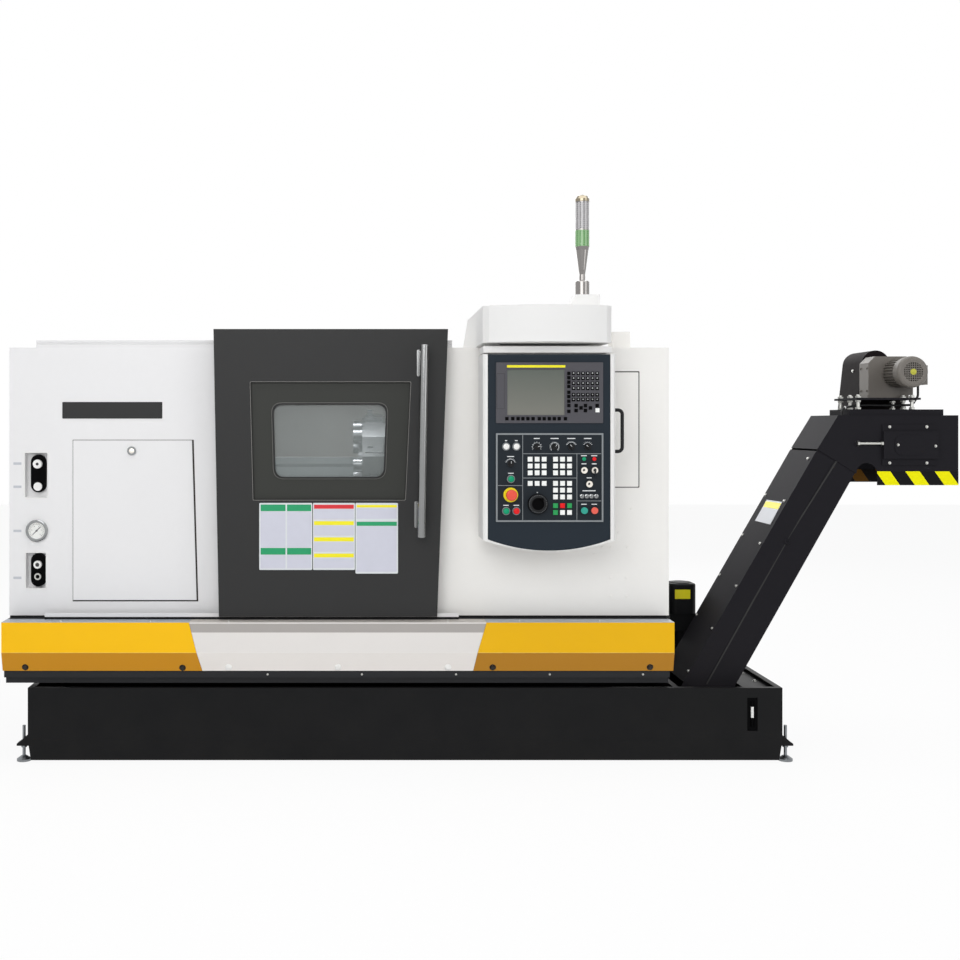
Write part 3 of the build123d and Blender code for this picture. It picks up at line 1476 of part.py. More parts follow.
# Canopy over the control panel: a curved front, a sloping back and an open underside
canopy_side = y_cab - 250
canopy_front = y_cab - canopy_reach
canopy_foot = 1598
canopy_top = 1734
canopy_flat = y_cab + 354
canopy_rear = y_cab + 645
corner_cut = 20
post_x = canopy_left + 45
post_y = y_cab - 140
post_radius = 30
post_seat = canopy_foot + 22
lamp_x = canopy_right - 64
lamp_foot = 1798
lamp_shelf = (canopy_right - 127, canopy_right - 4)


def canopy_outline(inset):
    # Plan of the canopy: bowed front, cut corners and straight sides, drawn in by an inset
    x0, x1 = canopy_left + inset, canopy_right - inset
    with BuildSketch() as plan:
        with BuildLine():
            bow = ThreePointArc(
                (x0 + corner_cut, canopy_side + inset),
                ((x0 + x1) / 2, canopy_front + inset),
                (x1 - corner_cut, canopy_side + inset),
            )
            Polyline(
                bow @ 1,
                (x1, canopy_side + inset + corner_cut),
                (x1, canopy_rear - inset),
                (x0, canopy_rear - inset),
                (x0, canopy_side + inset + corner_cut),
                bow @ 0,
            )
        make_face()
    return plan.sketch


def canopy_block(inset, foot):
    # Solid canopy form, its back sloping down to the roof
    outline = Plane.XY.offset(foot) * canopy_outline(inset)
    block = extrude(outline, amount=canopy_top - inset - foot)
    side = section(canopy_left) * Polygon(
        (canopy_front - 1, foot),
        (canopy_rear - 2.4 * inset, foot),
        (canopy_flat - inset / 2, canopy_top - inset),
        (canopy_front - 1, canopy_top - inset),
        align=None,
    )
    return block & extrude(side, amount=canopy_right - canopy_left)


canopy_form = canopy_block(0, canopy_foot)
canopy_space = canopy_block(thin_sheet, canopy_foot)
with BuildPart() as canopy:
    add(canopy_form)
    add(canopy_space, mode=Mode.SUBTRACT)
    # Floor of the part that hangs over, with the bearing ring for the panel's post
    with BuildSketch(Plane.XY.offset(canopy_foot)):
        add(canopy_outline(1))
        span(canopy_left, canopy_right, y_cab, canopy_rear + 5, mode=Mode.SUBTRACT)
    extrude(amount=thin_sheet)
    with BuildSketch(Plane.XY.offset(canopy_foot)):
        with Locations((post_x, post_y)):
            Circle(post_radius + 12)
    extrude(amount=post_seat - canopy_foot)
    with BuildSketch(Plane.XY.offset(canopy_foot)):
        with Locations((post_x, post_y)):
            Circle(post_radius + running_gap)
    extrude(amount=post_seat - canopy_foot, mode=Mode.SUBTRACT)
    # Foot rim on the roof
    with BuildSketch(Plane.XY.offset(roof_z)):
        span(canopy_left, canopy_right, y_cab + 1, canopy_rear)
        span(canopy_left + 12, canopy_right - 12, y_cab + 13, canopy_rear - 12, mode=Mode.SUBTRACT)
    extrude(amount=canopy_foot - roof_z + 1)
    # Shelf for the signal lamp, a folded sheet with a slanted left flank
    with BuildSketch(facing(y_cab + 45)):
        Polygon(
            (lamp_shelf[0], canopy_top - 1),
            (lamp_shelf[0] + 30, lamp_foot),
            (lamp_shelf[1], lamp_foot),
            (lamp_shelf[1], canopy_top - 1),
            align=None,
        )
    extrude(amount=90)
    with BuildSketch(facing(y_cab + 46)):
        Polygon(
            (lamp_shelf[0] + 4, canopy_top),
            (lamp_shelf[0] + 32, lamp_foot - thin_sheet),
            (lamp_shelf[1] - thin_sheet, lamp_foot - thin_sheet),
            (lamp_shelf[1] - thin_sheet, canopy_top),
            align=None,
        )
    extrude(amount=88, mode=Mode.SUBTRACT)
    # Lifting studs on top
    for x in (canopy_left + 36, canopy_left + 208):
        with Locations((x, canopy_side + 40, canopy_top)):
            Cylinder(8, 5, align=(Align.CENTER, Align.CENTER, Align.MIN))
canopy.part.label = "canopy"
export_step(canopy.part, "parts/canopy.step")

# Signal lamp: a turned foot, a slender stem and the stacked lamp body under a dome
lamp_outline = [
    (0, lamp_foot),
    (27.5, lamp_foot),
    (27.5, lamp_foot + 52),
    (24, lamp_foot + 56),
    (12, lamp_foot + 60),
    (11, lamp_foot + 82),
    (14, lamp_foot + 100),
    (24, lamp_foot + 176),
    (27.5, lamp_foot + 190),
    (27.5, lamp_foot + 254),
    (26.5, lamp_foot + 256),
    (26.5, lamp_foot + 364),
    (27.5, lamp_foot + 366),
    (27.5, lamp_foot + 376),
    (20, lamp_foot + 387),
    (8, lamp_foot + 392),
    (0, lamp_foot + 392),
]
with BuildPart() as signal_lamp:
    with BuildSketch(facing(y_cab)):
        Polygon(*[(lamp_x + r, z) for r, z in lamp_outline], align=None)
    revolve(axis=Axis((lamp_x, y_cab, 0), (0, 0, 1)))
signal_lamp.part.label = "signal_lamp"
export_step(signal_lamp.part, "parts/signal_lamp.step")

# Control panel that hangs from the canopy: shell with an arched foot and white side rims
panel_x = canopy_left + 246.5
panel_half = 245.5
panel_top = 1556
panel_side_foot = 866
panel_arch_foot = 824
panel_back = y_cab - 65
panel_face = y_cab - 225
rim_face = panel_face - 3
fascia_half = 227.5
fascia_thick = 10
neck = (1562, 1586)


def panel_outline(half, top, lift=0):
    # Front view of the panel, its foot an arch, drawn in by half its width
    drop = panel_side_foot + lift
    with BuildSketch() as outline:
        with BuildLine():
            arch = ThreePointArc(
                (panel_x - half, drop),
                (panel_x, panel_arch_foot + lift),
                (panel_x + half, drop),
            )
            Polyline(arch @ 1, (panel_x + half, top), (panel_x - half, top), arch @ 0)
        make_face()
    return outline.sketch


with BuildPart() as panel_shell:
    with BuildSketch(facing(panel_back)):
        add(panel_outline(panel_half, panel_top))
    extrude(amount=panel_back - rim_face)
    chamfer(panel_shell.faces().sort_by(Axis.Y)[0].edges().filter_by(Axis.Z), 6)
    with BuildSketch(facing(rim_face)):
        add(panel_outline(fascia_half + slide_gap, panel_top + 1, 2))
    extrude(amount=rim_face - panel_face - fascia_thick, mode=Mode.SUBTRACT)
    with BuildSketch(facing(panel_back - thin_sheet)):
        add(panel_outline(fascia_half - 8, panel_top - 8, 10))
    extrude(amount=panel_back - panel_face - thin_sheet, mode=Mode.SUBTRACT)
    # Neck strip above the panel and the post that turns in the canopy
    with BuildSketch(Plane.XY.offset(neck[0])):
        span(panel_x - panel_half + 3, panel_x + panel_half - 12, panel_face + 8, panel_back - 10)
    extrude(amount=neck[1] - neck[0])
    with BuildSketch(Plane.XY.offset(panel_top - thin_sheet)):
        span(panel_x - panel_half + 30, panel_x + panel_half - 40, panel_face + 40, panel_back - 30)
    extrude(amount=neck[0] - panel_top + 2 * thin_sheet)
    with BuildSketch(Plane.XY.offset(neck[1] - 1)):
        with Locations((post_x, post_y)):
            Circle(post_radius)
    extrude(amount=post_seat - neck[1] + 1)
    with BuildSketch(Plane.XY.offset(post_seat)):
        with Locations((post_x, post_y)):
            Circle(post_radius + 8)
    extrude(amount=8)
panel_shell.part.label = "panel_shell"
export_step(panel_shell.part, "parts/panel_shell.step")

# Layout of the operator plate: sideways from the panel's centre, and the height
stop_at = (-143, 1034)
wheel_at = (-44, 1001)
selector_at = [(-46, 1212), (20, 1212), (82, 1212), (143, 1212), (-143, 1149)]
start_at = (129, 976)
hold_at = (167, 976)
stop_stem = 9
wheel_stem = 6
button_stem = 5
selector_stem = 4
plate_back = panel_face
plate_front = panel_face - 3


def on_panel(place):
    # Position in the front view from a place given from the panel's centre
    return (panel_x + place[0], place[1])


def stem_holes(gap=running_gap):
    # Holes for the stems of the moving controls
    for places, radius in (
        ([stop_at], stop_stem),
        ([wheel_at], wheel_stem),
        (selector_at, selector_stem),
        ([start_at, hold_at], button_stem),
    ):
        with Locations(*[on_panel(place) for place in places]):
            Circle(radius + gap, mode=Mode.SUBTRACT)


with BuildPart() as panel_fascia:
    with BuildSketch(facing(panel_face + fascia_thick)):
        add(panel_outline(fascia_half, panel_top - 0.5, 3))
        with Locations(on_panel((0, 1412))):
            Rectangle(340, 180, mode=Mode.SUBTRACT)
        stem_holes(2)
    extrude(amount=fascia_thick)
panel_fascia.part.label = "panel_fascia"
export_step(panel_fascia.part, "parts/panel_fascia.step")

# Display unit: a plate with a sunk screen, its soft keys and its keyboard
soft_key_u = [-157.3, -135.4, -115.7, -97.9, -79.4, -60.1, -37, -18.9, 0, 18.5, 36.7, 59.7]
side_key_z = [1484.4, 1468.4, 1451.8, 1436, 1414.5, 1398.5, 1381.1, 1365.1, 1343.5]
with BuildPart() as display_unit:
    with BuildSketch(facing(plate_back)):
        with Locations(on_panel((1.5, 1412.6))):
            RectangleRounded(397.6, 225.9, 3)
    extrude(amount=5)
    chamfer(display_unit.faces().sort_by(Axis.Y)[0].edges(), 1)
    with BuildSketch(facing(plate_back + fascia_thick + 30)):
        with Locations(on_panel((0, 1412))):
            Rectangle(330, 170)
    extrude(amount=fascia_thick + 30)
    with BuildSketch(facing(plate_back - 5)):
        span(panel_x - 155.8, panel_x + 57.1, 1329.4, 1497.8)
    extrude(amount=-3, mode=Mode.SUBTRACT)
    with BuildSketch(facing(plate_back - 5)):
        with Locations(*[on_panel((u, 1316.4)) for u in soft_key_u]):
            Rectangle(11, 11)
        with Locations(*[on_panel((72.3, z)) for z in side_key_z]):
            Rectangle(11, 11)
        with Locations(on_panel((133.5, 1456.6))):
            with GridLocations(17.5, 18.5, 6, 4):
                Rectangle(11, 11)
        with Locations(on_panel((133.5, 1396.1))):
            with GridLocations(17.5, 17.8, 6, 2):
                Rectangle(11, 11)
        for u, z in ((99.4, 1365), (99.4, 1346.8), (117.6, 1356.5), (133.9, 1365)):
            with Locations(on_panel((u, z))):
                Rectangle(11, 11)
        for u, z in ((133.9, 1346.8), (152.4, 1356.5), (177.3, 1365), (178.4, 1347.6)):
            with Locations(on_panel((u, z))):
                Rectangle(11, 11)
    extrude(amount=2)
display_unit.part.label = "display_unit"
export_step(display_unit.part, "parts/display_unit.step")

# Operator plate: a framed plate with dividers, key caps, push buttons, key locks and switches
key_size = 17
button_radius = 12
with BuildPart() as operator_plate:
    with BuildSketch(facing(plate_back)):
        with Locations(on_panel((1.5, 1098.1))):
            RectangleRounded(398.4, 329, 2)
        stem_holes()
    extrude(amount=3)
    # Raised frame and the ribs that divide the fields
    with BuildSketch(facing(plate_front)):
        with Locations(on_panel((1.5, 1098.1))):
            Rectangle(398.4, 329)
            Rectangle(384, 315, mode=Mode.SUBTRACT)
        for u0, u1, z0, z1 in (
            (-100, -97, 938, 1258),
            (101, 104, 938, 1188),
            (-100, 196, 1185, 1188),
            (-193, -97, 1067, 1070),
            (-100, 104, 1095, 1098),
            (101, 196, 1010, 1013),
        ):
            span(panel_x + u0, panel_x + u1, z0, z1)
    extrude(amount=1.5)
    # Square key caps
    with BuildSketch(facing(plate_front)):
        for u, z, rows in ((-45, 1141, 3), (49, 1141, 3), (-45, 1076.4, 1), (49, 1051.4, 3), (49, 981.3, 2)):
            with Locations(on_panel((u, z))):
                with GridLocations(26, 25.2, 3, rows):
                    Rectangle(key_size, key_size)
    extrude(amount=3)
    # Round push buttons, key locks and toggles in their collars
    collars = [(-160, 1213), (-122, 1213), (-142, 1093), (-160, 974), (-122, 974)]
    collars += [(129, 1125), (168, 1125), (148, 1074)]
    with BuildSketch(facing(plate_front)):
        with Locations(*[on_panel(place) for place in collars]):
            Circle(15)
    extrude(amount=3)
    with BuildSketch(facing(plate_front - 3)):
        with Locations(*[on_panel(place) for place in collars]):
            Circle(button_radius)
    extrude(amount=5)
    with BuildSketch(facing(plate_front)):
        with Locations(*[on_panel((u, 1167)) for u in (129, 167)]):
            Circle(7)
        with Locations(*[on_panel((u, 1029)) for u in (121, 139, 156, 174)]):
            Circle(7.5)
    extrude(amount=4)
    with BuildSketch(facing(plate_front - 4)):
        with Locations(*[on_panel((u, 1029)) for u in (121, 139, 156, 174)]):
            Circle(2.6)
    extrude(amount=14)
    # Collars of the emergency stop, the hand wheel, the start and hold buttons
    with BuildSketch(facing(plate_front)):
        with Locations(on_panel(stop_at)):
            Circle(26.5)
            Circle(stop_stem + running_gap, mode=Mode.SUBTRACT)
    extrude(amount=5)
    for place in (start_at, hold_at):
        with BuildSketch(facing(plate_front)):
            with Locations(on_panel(place)):
                Circle(15.5)
                Circle(13, mode=Mode.SUBTRACT)
        extrude(amount=5)
    # A key left in the upper right lock
    with BuildSketch(section(panel_x + 166.5)):
        span(plate_front - 26, plate_front - 6, 1100, 1132)
    extrude(amount=3)
operator_plate.part.label = "operator_plate"
export_step(operator_plate.part, "parts/operator_plate.step")

# Panel handle: a bent bar on the right flank
grip_radius = 6.5
grip_x = panel_x + panel_half + 34
grip_y = y_cab - 190
grip_z = (1194, 1349)
with BuildPart() as panel_handle:
    with BuildLine() as grip_line:
        FilletPolyline(
            (panel_x + panel_half, grip_y, grip_z[0]),
            (grip_x, grip_y, grip_z[0]),
            (grip_x, grip_y, grip_z[1]),
            (panel_x + panel_half, grip_y, grip_z[1]),
            radius=16,
        )
    with BuildSketch(Plane(origin=grip_line.line @ 0, z_dir=(1, 0, 0))):
        Circle(grip_radius)
    sweep(path=grip_line.line)
    for z in grip_z:
        with BuildSketch(section(panel_x + panel_half)):
            with Locations((grip_y, z)):
                Circle(10)
        extrude(amount=4)
panel_handle.part.label = "panel_handle"
export_step(panel_handle.part, "parts/panel_handle.step")

# Emergency stop: a mushroom head on a stem that slides through the plate
with BuildPart() as emergency_stop:
    stop_x, stop_z = on_panel(stop_at)
    head_face = plate_front - 38
    with BuildSketch(facing(panel_face + fascia_thick)):
        with Locations((stop_x, stop_z)):
            Circle(stop_stem)
    extrude(amount=panel_face + fascia_thick - head_face - 10)
    with BuildSketch(facing(plate_front - 16)):
        with Locations((stop_x, stop_z)):
            Circle(13)
    extrude(amount=12)
    with BuildSketch(facing(head_face + 14)):
        with Locations((stop_x, stop_z)):
            Circle(20.5)
    extrude(amount=14)
    fillet(emergency_stop.edges().group_by(Axis.Y)[0], 6)
emergency_stop.part.label = "emergency_stop"
export_step(emergency_stop.part, "parts/emergency_stop.step")

# Hand wheel: a dial disc with a fine edge and a small crank knob
with BuildPart() as handwheel:
    wheel_x, wheel_z = on_panel(wheel_at)
    with BuildSketch(facing(plate_front - 4)):
        with Locations((wheel_x, wheel_z)):
            Circle(37)
            with PolarLocations(37.6, 36):
                Circle(1.4, mode=Mode.SUBTRACT)
    extrude(amount=16)
    with BuildSketch(facing(plate_front - 20)):
        with Locations((wheel_x, wheel_z)):
            Circle(22)
    extrude(amount=-3, mode=Mode.SUBTRACT)
    with BuildSketch(facing(panel_face + fascia_thick)):
        with Locations((wheel_x, wheel_z)):
            Circle(wheel_stem)
    extrude(amount=fascia_thick + 8)
handwheel.part.label = "handwheel"
export_step(handwheel.part, "parts/handwheel.step")

# Five rotary selectors, each a round foot with a raised grip
for number, (place, turn) in enumerate(zip(selector_at, (20, 60, 130, 140, 90)), start=1):
    with BuildPart() as selector_knob:
        with BuildSketch(facing(plate_front - 0.5)):
            with Locations(on_panel(place)):
                Circle(12)
        extrude(amount=7)
        with BuildSketch(facing(plate_front - 7)):
            with Locations(on_panel(place)):
                with Locations(Location((0, 0), turn)):
                    SlotOverall(23, 7)
        extrude(amount=12)
        with BuildSketch(facing(panel_face + fascia_thick)):
            with Locations(on_panel(place)):
                Circle(selector_stem)
        extrude(amount=fascia_thick + 4)
    selector_knob.part.label = f"selector_knob_{number}"
    export_step(selector_knob.part, f"parts/selector_knob_{number}.step")


def push_button(place):
    # Round button on a stem through the plate
    for y0, depth, radius in (
        (panel_face + fascia_thick, fascia_thick + 4 + 5, button_stem),
        (plate_front - 4.5, 8, 12.5),
    ):
        with BuildSketch(facing(y0)) as round_part:
            with Locations(on_panel(place)):
                Circle(radius)
        extrude(to_extrude=round_part.sketch, amount=depth)


with BuildPart() as cycle_start_button:
    push_button(start_at)
cycle_start_button.part.label = "cycle_start_button"
export_step(cycle_start_button.part, "parts/cycle_start_button.step")

with BuildPart() as feed_hold_button:
    push_button(hold_at)
feed_hold_button.part.label = "feed_hold_button"
export_step(feed_hold_button.part, "parts/feed_hold_button.step")

# Electrical cabinet on the back, with a hinged door and quarter-turn locks
box_x = (x_left + 450, x_left + 1850)
box_z = (500, 1650)
box_back = y_back - 20
door_skin = y_back - 5
hinge_z = (box_z[0] + 150, (box_z[0] + box_z[1]) / 2, box_z[1] - 150)
knuckle_radius = 3.5
knuckle_length = 30
leaf = 2.5


def knuckles(rise):
    # Hinge barrels at the cabinet's rear corner, each standing a little above its hinge's middle
    for z in hinge_z:
        with BuildSketch(Plane.XY.offset(z + rise)) as barrel:
            with Locations((box_x[1], door_skin)):
                Circle(knuckle_radius)
        extrude(to_extrude=barrel.sketch, amount=knuckle_length)


with BuildPart() as electrical_cabinet:
    with BuildSketch(facing(box_back)):
        span(*box_x, *box_z)
    extrude(amount=box_back - y_cab_back)
    with BuildSketch(facing(box_back)):
        span(box_x[0] + thin_sheet, box_x[1] - thin_sheet, box_z[0] + thin_sheet, box_z[1] - thin_sheet)
    extrude(amount=box_back - y_cab_back - thin_sheet, mode=Mode.SUBTRACT)
    with BuildSketch(facing(box_back)):
        span(*box_x, *box_z)
        span(box_x[0] + 22, box_x[1] - 22, box_z[0] + 22, box_z[1] - 22, mode=Mode.SUBTRACT)
    extrude(amount=thin_sheet)
    # Mounting plate with rows of switchgear
    with BuildSketch(facing(y_cab_back + 22)):
        span(box_x[0] + 60, box_x[1] - 60, box_z[0] + 60, box_z[1] - 60)
    extrude(amount=20)
    for z, width, height, depth in ((1400, 1100, 150, 110), (1080, 1000, 110, 80), (800, 1100, 90, 70)):
        with BuildSketch(facing(y_cab_back + 22 + depth)):
            with Locations(((box_x[0] + box_x[1]) / 2, z)):
                Rectangle(width, height)
        extrude(amount=depth)
    # Fixed leaves and barrels of the hinges, on the cabinet's side
    knuckles(-knuckle_length - running_gap)
    for z in hinge_z:
        with BuildSketch(Plane.XY.offset(z - knuckle_length - running_gap)):
            span(box_x[1], box_x[1] + leaf, box_back - 30, door_skin)
        extrude(amount=knuckle_length)
electrical_cabinet.part.label = "electrical_cabinet"
export_step(electrical_cabinet.part, "parts/electrical_cabinet.step")

with BuildPart() as electrical_door:
    with BuildSketch(facing(door_skin)):
        span(box_x[0] + 4, box_x[1] - 4, box_z[0] + 4, box_z[1] - 4)
        fillet(vertices(), 4)
    extrude(amount=door_skin - box_back)
    with BuildSketch(facing(door_skin - thin_sheet)):
        span(box_x[0] + 7, box_x[1] - 7, box_z[0] + 7, box_z[1] - 7)
    extrude(amount=door_skin - box_back, mode=Mode.SUBTRACT)
    with BuildSketch(facing(y_back)):
        with Locations(*[(box_x[0] + 60, z) for z in (box_z[0] + 160, 1075, box_z[1] - 160)]):
            Circle(14)
    extrude(amount=y_back - door_skin + 1)
    with BuildSketch(facing(door_skin)):
        with Locations((box_x[1] - 320, 700)):
            with GridLocations(0, 26, 1, louvre_count):
                SlotOverall(300, 9)
    extrude(amount=thin_sheet, mode=Mode.SUBTRACT)
    # Moving leaves and barrels of the hinges, on the door's skin
    knuckles(running_gap)
    for z in hinge_z:
        with BuildSketch(Plane.XY.offset(z + running_gap)):
            span(box_x[1] - 26, box_x[1], door_skin, door_skin + leaf)
        extrude(amount=knuckle_length)
electrical_door.part.label = "electrical_door"
export_step(electrical_door.part, "parts/electrical_door.step")
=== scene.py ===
# %% [markdown]
# # A slant-bed turning lathe
# The machine's sheet metal, castings and mechanisms come from the CAD frame. This notebook
# gives them their finishes, adds what is too fine for CAD, and lights and frames the machine.

import math

import bmesh
import bpy
from mathutils import Matrix, Vector


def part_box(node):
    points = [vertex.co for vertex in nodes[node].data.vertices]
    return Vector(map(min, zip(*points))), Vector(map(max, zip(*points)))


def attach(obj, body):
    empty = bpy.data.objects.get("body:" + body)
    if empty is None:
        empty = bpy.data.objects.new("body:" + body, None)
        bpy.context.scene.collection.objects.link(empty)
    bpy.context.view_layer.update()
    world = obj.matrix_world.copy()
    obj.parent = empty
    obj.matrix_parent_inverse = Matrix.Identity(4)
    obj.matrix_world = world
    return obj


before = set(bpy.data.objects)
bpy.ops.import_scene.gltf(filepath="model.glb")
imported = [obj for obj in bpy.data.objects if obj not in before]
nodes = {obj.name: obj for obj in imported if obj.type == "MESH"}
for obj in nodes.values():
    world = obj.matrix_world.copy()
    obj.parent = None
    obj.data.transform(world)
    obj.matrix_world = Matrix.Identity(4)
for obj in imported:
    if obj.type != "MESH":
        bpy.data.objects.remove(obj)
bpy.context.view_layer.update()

# %% [markdown]
# The photograph looks straight at the front from a little over chest height. Its vanishing
# point lies left of and above the middle of the picture, so the camera keeps level and
# square, and the lens is shifted where it could have been turned. One helper turns a place in the
# 960 x 960 picture, on a plane some way behind the cabinet fronts, into metres.

# %% Camera
FRONT = -0.550
DISTANCE = 4.6
EYE_X, EYE_HEIGHT = -0.502, 1.293
VANISHING_X, VANISHING_Y = 355, 425
METRES_PER_PIXEL = 0.0039
camera_data = bpy.data.cameras.new("Camera")
camera_data.lens = 44.2
camera_data.sensor_width = 36
camera_data.shift_x = 0.130
camera_data.shift_y = -0.0573
camera_data.clip_end = 60
camera = bpy.data.objects.new("Camera", camera_data)
bpy.context.scene.collection.objects.link(camera)
camera.location = (EYE_X, FRONT - DISTANCE, EYE_HEIGHT)
camera.rotation_euler = (math.radians(90), 0, 0)
bpy.context.scene.camera = camera


def seen(px, py, behind=0.0):
    """x and z, in metres, of a point of the picture on a plane behind the cabinet fronts."""
    scale = METRES_PER_PIXEL * (DISTANCE + behind) / DISTANCE
    return (px - VANISHING_X) * scale + EYE_X, EYE_HEIGHT + (VANISHING_Y - py) * scale


print("left edge of the cabinet:", seen(8.8, 480))

# %% [markdown]
# The machine stands on a pale floor in a bright room. The camera sees white all round, as in
# a catalogue picture, while the floor still takes the machine's shadow. Large soft lamps
# give every colour about the value that it is written with.

# %% Room and lamps
WHITE = (1, 1, 1, 1)
scene = bpy.context.scene
scene.view_settings.view_transform = "Standard"


def put(tree, kind, inputs=(), **settings):
    """Adds a node: its settings first, then the values or the links of its sockets."""
    node = tree.nodes.new(kind)
    for key, value in settings.items():
        setattr(node, key, value)
    for key, value in dict(inputs).items():
        if isinstance(value, bpy.types.NodeSocket):
            tree.links.new(value, node.inputs[key])
        else:
            node.inputs[key].default_value = value
    return node


def looked_at(tree):
    """A socket that is 1 for rays from the camera, off a shiny surface or through glass."""
    rays = put(tree, "ShaderNodeLightPath").outputs
    largest = rays["Is Camera Ray"]
    for name in ("Is Glossy Ray", "Is Transmission Ray"):
        either = put(tree, "ShaderNodeMath", {0: largest, 1: rays[name]}, operation="MAXIMUM")
        largest = either.outputs[0]
    return largest


world = bpy.data.worlds.new("Bright room")
scene.world = world
world.use_nodes = True
room = world.node_tree
room.nodes.clear()
soft_light = put(room, "ShaderNodeBackground", {"Color": (0.93, 0.96, 1.0, 1), "Strength": 0.33})
white_wall = put(room, "ShaderNodeBackground", {"Color": WHITE, "Strength": 1.0})
shown = {0: looked_at(room), 1: soft_light.outputs[0], 2: white_wall.outputs[0]}
put(room, "ShaderNodeOutputWorld", {0: put(room, "ShaderNodeMixShader", shown).outputs[0]})


def soft_lamp(name, place, aim, size, power):
    """A large square lamp that points at a spot."""
    data = bpy.data.lights.new(name, "AREA")
    data.shape = "RECTANGLE"
    data.size, data.size_y = size
    data.energy = power
    lamp = bpy.data.objects.new(name, data)
    scene.collection.objects.link(lamp)
    lamp.location = place
    lamp.rotation_euler = (Vector(aim) - Vector(place)).to_track_quat("-Z", "Y").to_euler()


soft_lamp("front lamp", (-1.6, -6.0, 3.4), (0, 0, 1.0), (4.5, 3.0), 150)
soft_lamp("right lamp", (4.6, -4.0, 2.6), (0.4, 0, 1.0), (2.5, 3.0), 40)
soft_lamp("top lamp", (0.2, -0.6, 5.0), (0, 0, 0.9), (5.0, 3.0), 105)
soft_lamp("back lamp", (0.5, 5.5, 3.4), (0, 0, 1.0), (4.5, 3.0), 100)
soft_lamp("chamber lamp", (-0.6, -0.28, 1.54), (-0.6, -0.1, 0.8), (0.5, 0.08), 3)
print("lamps:", len(bpy.data.lights))

# %% [markdown]
# Finishes are written as short expressions. A small class wraps an output socket and gives
# it the usual operators, and another one holds a material with its shader, so that noise,
# masks and mixes read like the sentence that describes the paint.

# %% Shader helpers


class Wire:
    """An output socket that can be added, multiplied and compared."""

    def __init__(self, finish, socket):
        self.finish = finish
        self.socket = socket

    def math(self, operation, first, second=0.0):
        return self.finish.add("ShaderNodeMath", {"operation": operation}, {0: first, 1: second})

    def __add__(self, other):
        return self.math("ADD", self, other)

    __radd__ = __add__

    def __sub__(self, other):
        return self.math("SUBTRACT", self, other)

    def __rsub__(self, other):
        return self.math("SUBTRACT", other, self)

    def __mul__(self, other):
        return self.math("MULTIPLY", self, other)

    __rmul__ = __mul__

    def __truediv__(self, other):
        return self.math("DIVIDE", self, other)

    def __gt__(self, other):
        return self.math("GREATER_THAN", self, other)

    def __lt__(self, other):
        return self.math("LESS_THAN", self, other)

    def wrap(self):
        return self.math("FRACT", self)

    def size(self):
        return self.math("ABSOLUTE", self)

    def clamped(self):
        return self.math("MINIMUM", self.math("MAXIMUM", self, 0.0), 1.0)


def colour(code):
    """Linear colour from the six digits of a screen colour."""
    parts = [int(code[i : i + 2], 16) / 255 for i in (0, 2, 4)]
    return tuple(p / 12.92 if p <= 0.04045 else ((p + 0.055) / 1.055) ** 2.4 for p in parts) + (1,)


class Finish:
    """A material and its main shader."""

    def __init__(self, name, base, roughness=0.5, metallic=0.0, **fixed):
        self.material = bpy.data.materials.new(name)
        self.material.use_nodes = True
        self.tree = self.material.node_tree
        self.shader = self.tree.nodes["Principled BSDF"]
        self.base = colour(base)
        self.shader.inputs["Base Color"].default_value = self.base
        self.shader.inputs["Roughness"].default_value = roughness
        self.shader.inputs["Metallic"].default_value = metallic
        for socket, value in fixed.items():
            self.shader.inputs[socket.replace("_", " ")].default_value = value
        self.place = Wire(self, put(self.tree, "ShaderNodeTexCoord").outputs["Object"])

    def add(self, kind, settings, inputs, out=0):
        """Any other node: its settings first, then the values or wires of its sockets."""
        sockets = {key: value.socket if isinstance(value, Wire) else value for key, value in inputs.items()}
        return Wire(self, put(self.tree, kind, sockets, **settings).outputs[out])

    def axes(self):
        """The separate x, y and z of the object's own coordinates."""
        split = put(self.tree, "ShaderNodeSeparateXYZ", {0: self.place.socket})
        return [Wire(self, socket) for socket in split.outputs]

    def stretched(self, x, y, z):
        """Object coordinates scaled along each axis."""
        return self.add("ShaderNodeMapping", {}, {"Vector": self.place, "Scale": (x, y, z)})

    def noise(self, scale, detail=3.0, place=None):
        sockets = {"Vector": place or self.place, "Scale": scale, "Detail": detail, "Roughness": 0.55}
        return self.add("ShaderNodeTexNoise", {}, sockets)

    def cells(self, scale):
        return self.add("ShaderNodeTexVoronoi", {}, {"Vector": self.place, "Scale": scale})

    def mix(self, mask, under, over):
        """Over laid on under wherever the mask is 1."""
        return self.add("ShaderNodeMix", {"data_type": "RGBA"}, {0: mask, 6: under, 7: over}, out=2)

    def tone(self, factor):
        """The base colour, darkened or lightened by a factor around 1."""
        grey = self.add("ShaderNodeCombineColor", {}, {0: factor, 1: factor, 2: factor})
        settings = {"data_type": "RGBA", "blend_type": "MULTIPLY"}
        return self.add("ShaderNodeMix", settings, {0: 1.0, 6: self.base, 7: grey}, out=2)

    def drive(self, socket, wire):
        self.tree.links.new(wire.socket, self.shader.inputs[socket])

    def bump(self, height, strength=0.2, distance=0.001):
        inputs = {"Height": height, "Strength": strength, "Distance": distance}
        self.drive("Normal", self.add("ShaderNodeBump", {}, inputs))


def wear(node_or_piece, finish):
    """Gives a CAD node or a piece its finish."""
    target = nodes[node_or_piece] if isinstance(node_or_piece, str) else node_or_piece
    target.data.materials.clear()
    target.data.materials.append(finish.material)


print("shader helpers ready; the camera stands at", tuple(round(v, 3) for v in camera.location))

# %% [markdown]
# Sprayed paint is never quite flat. Its gloss wanders, a fine skin like orange peel breaks
# the reflections, and the tone drifts by a percent or two over a large panel. Dust greys
# the lowest part of a machine. One function makes all the painted finishes from these.

# %% Painted sheet


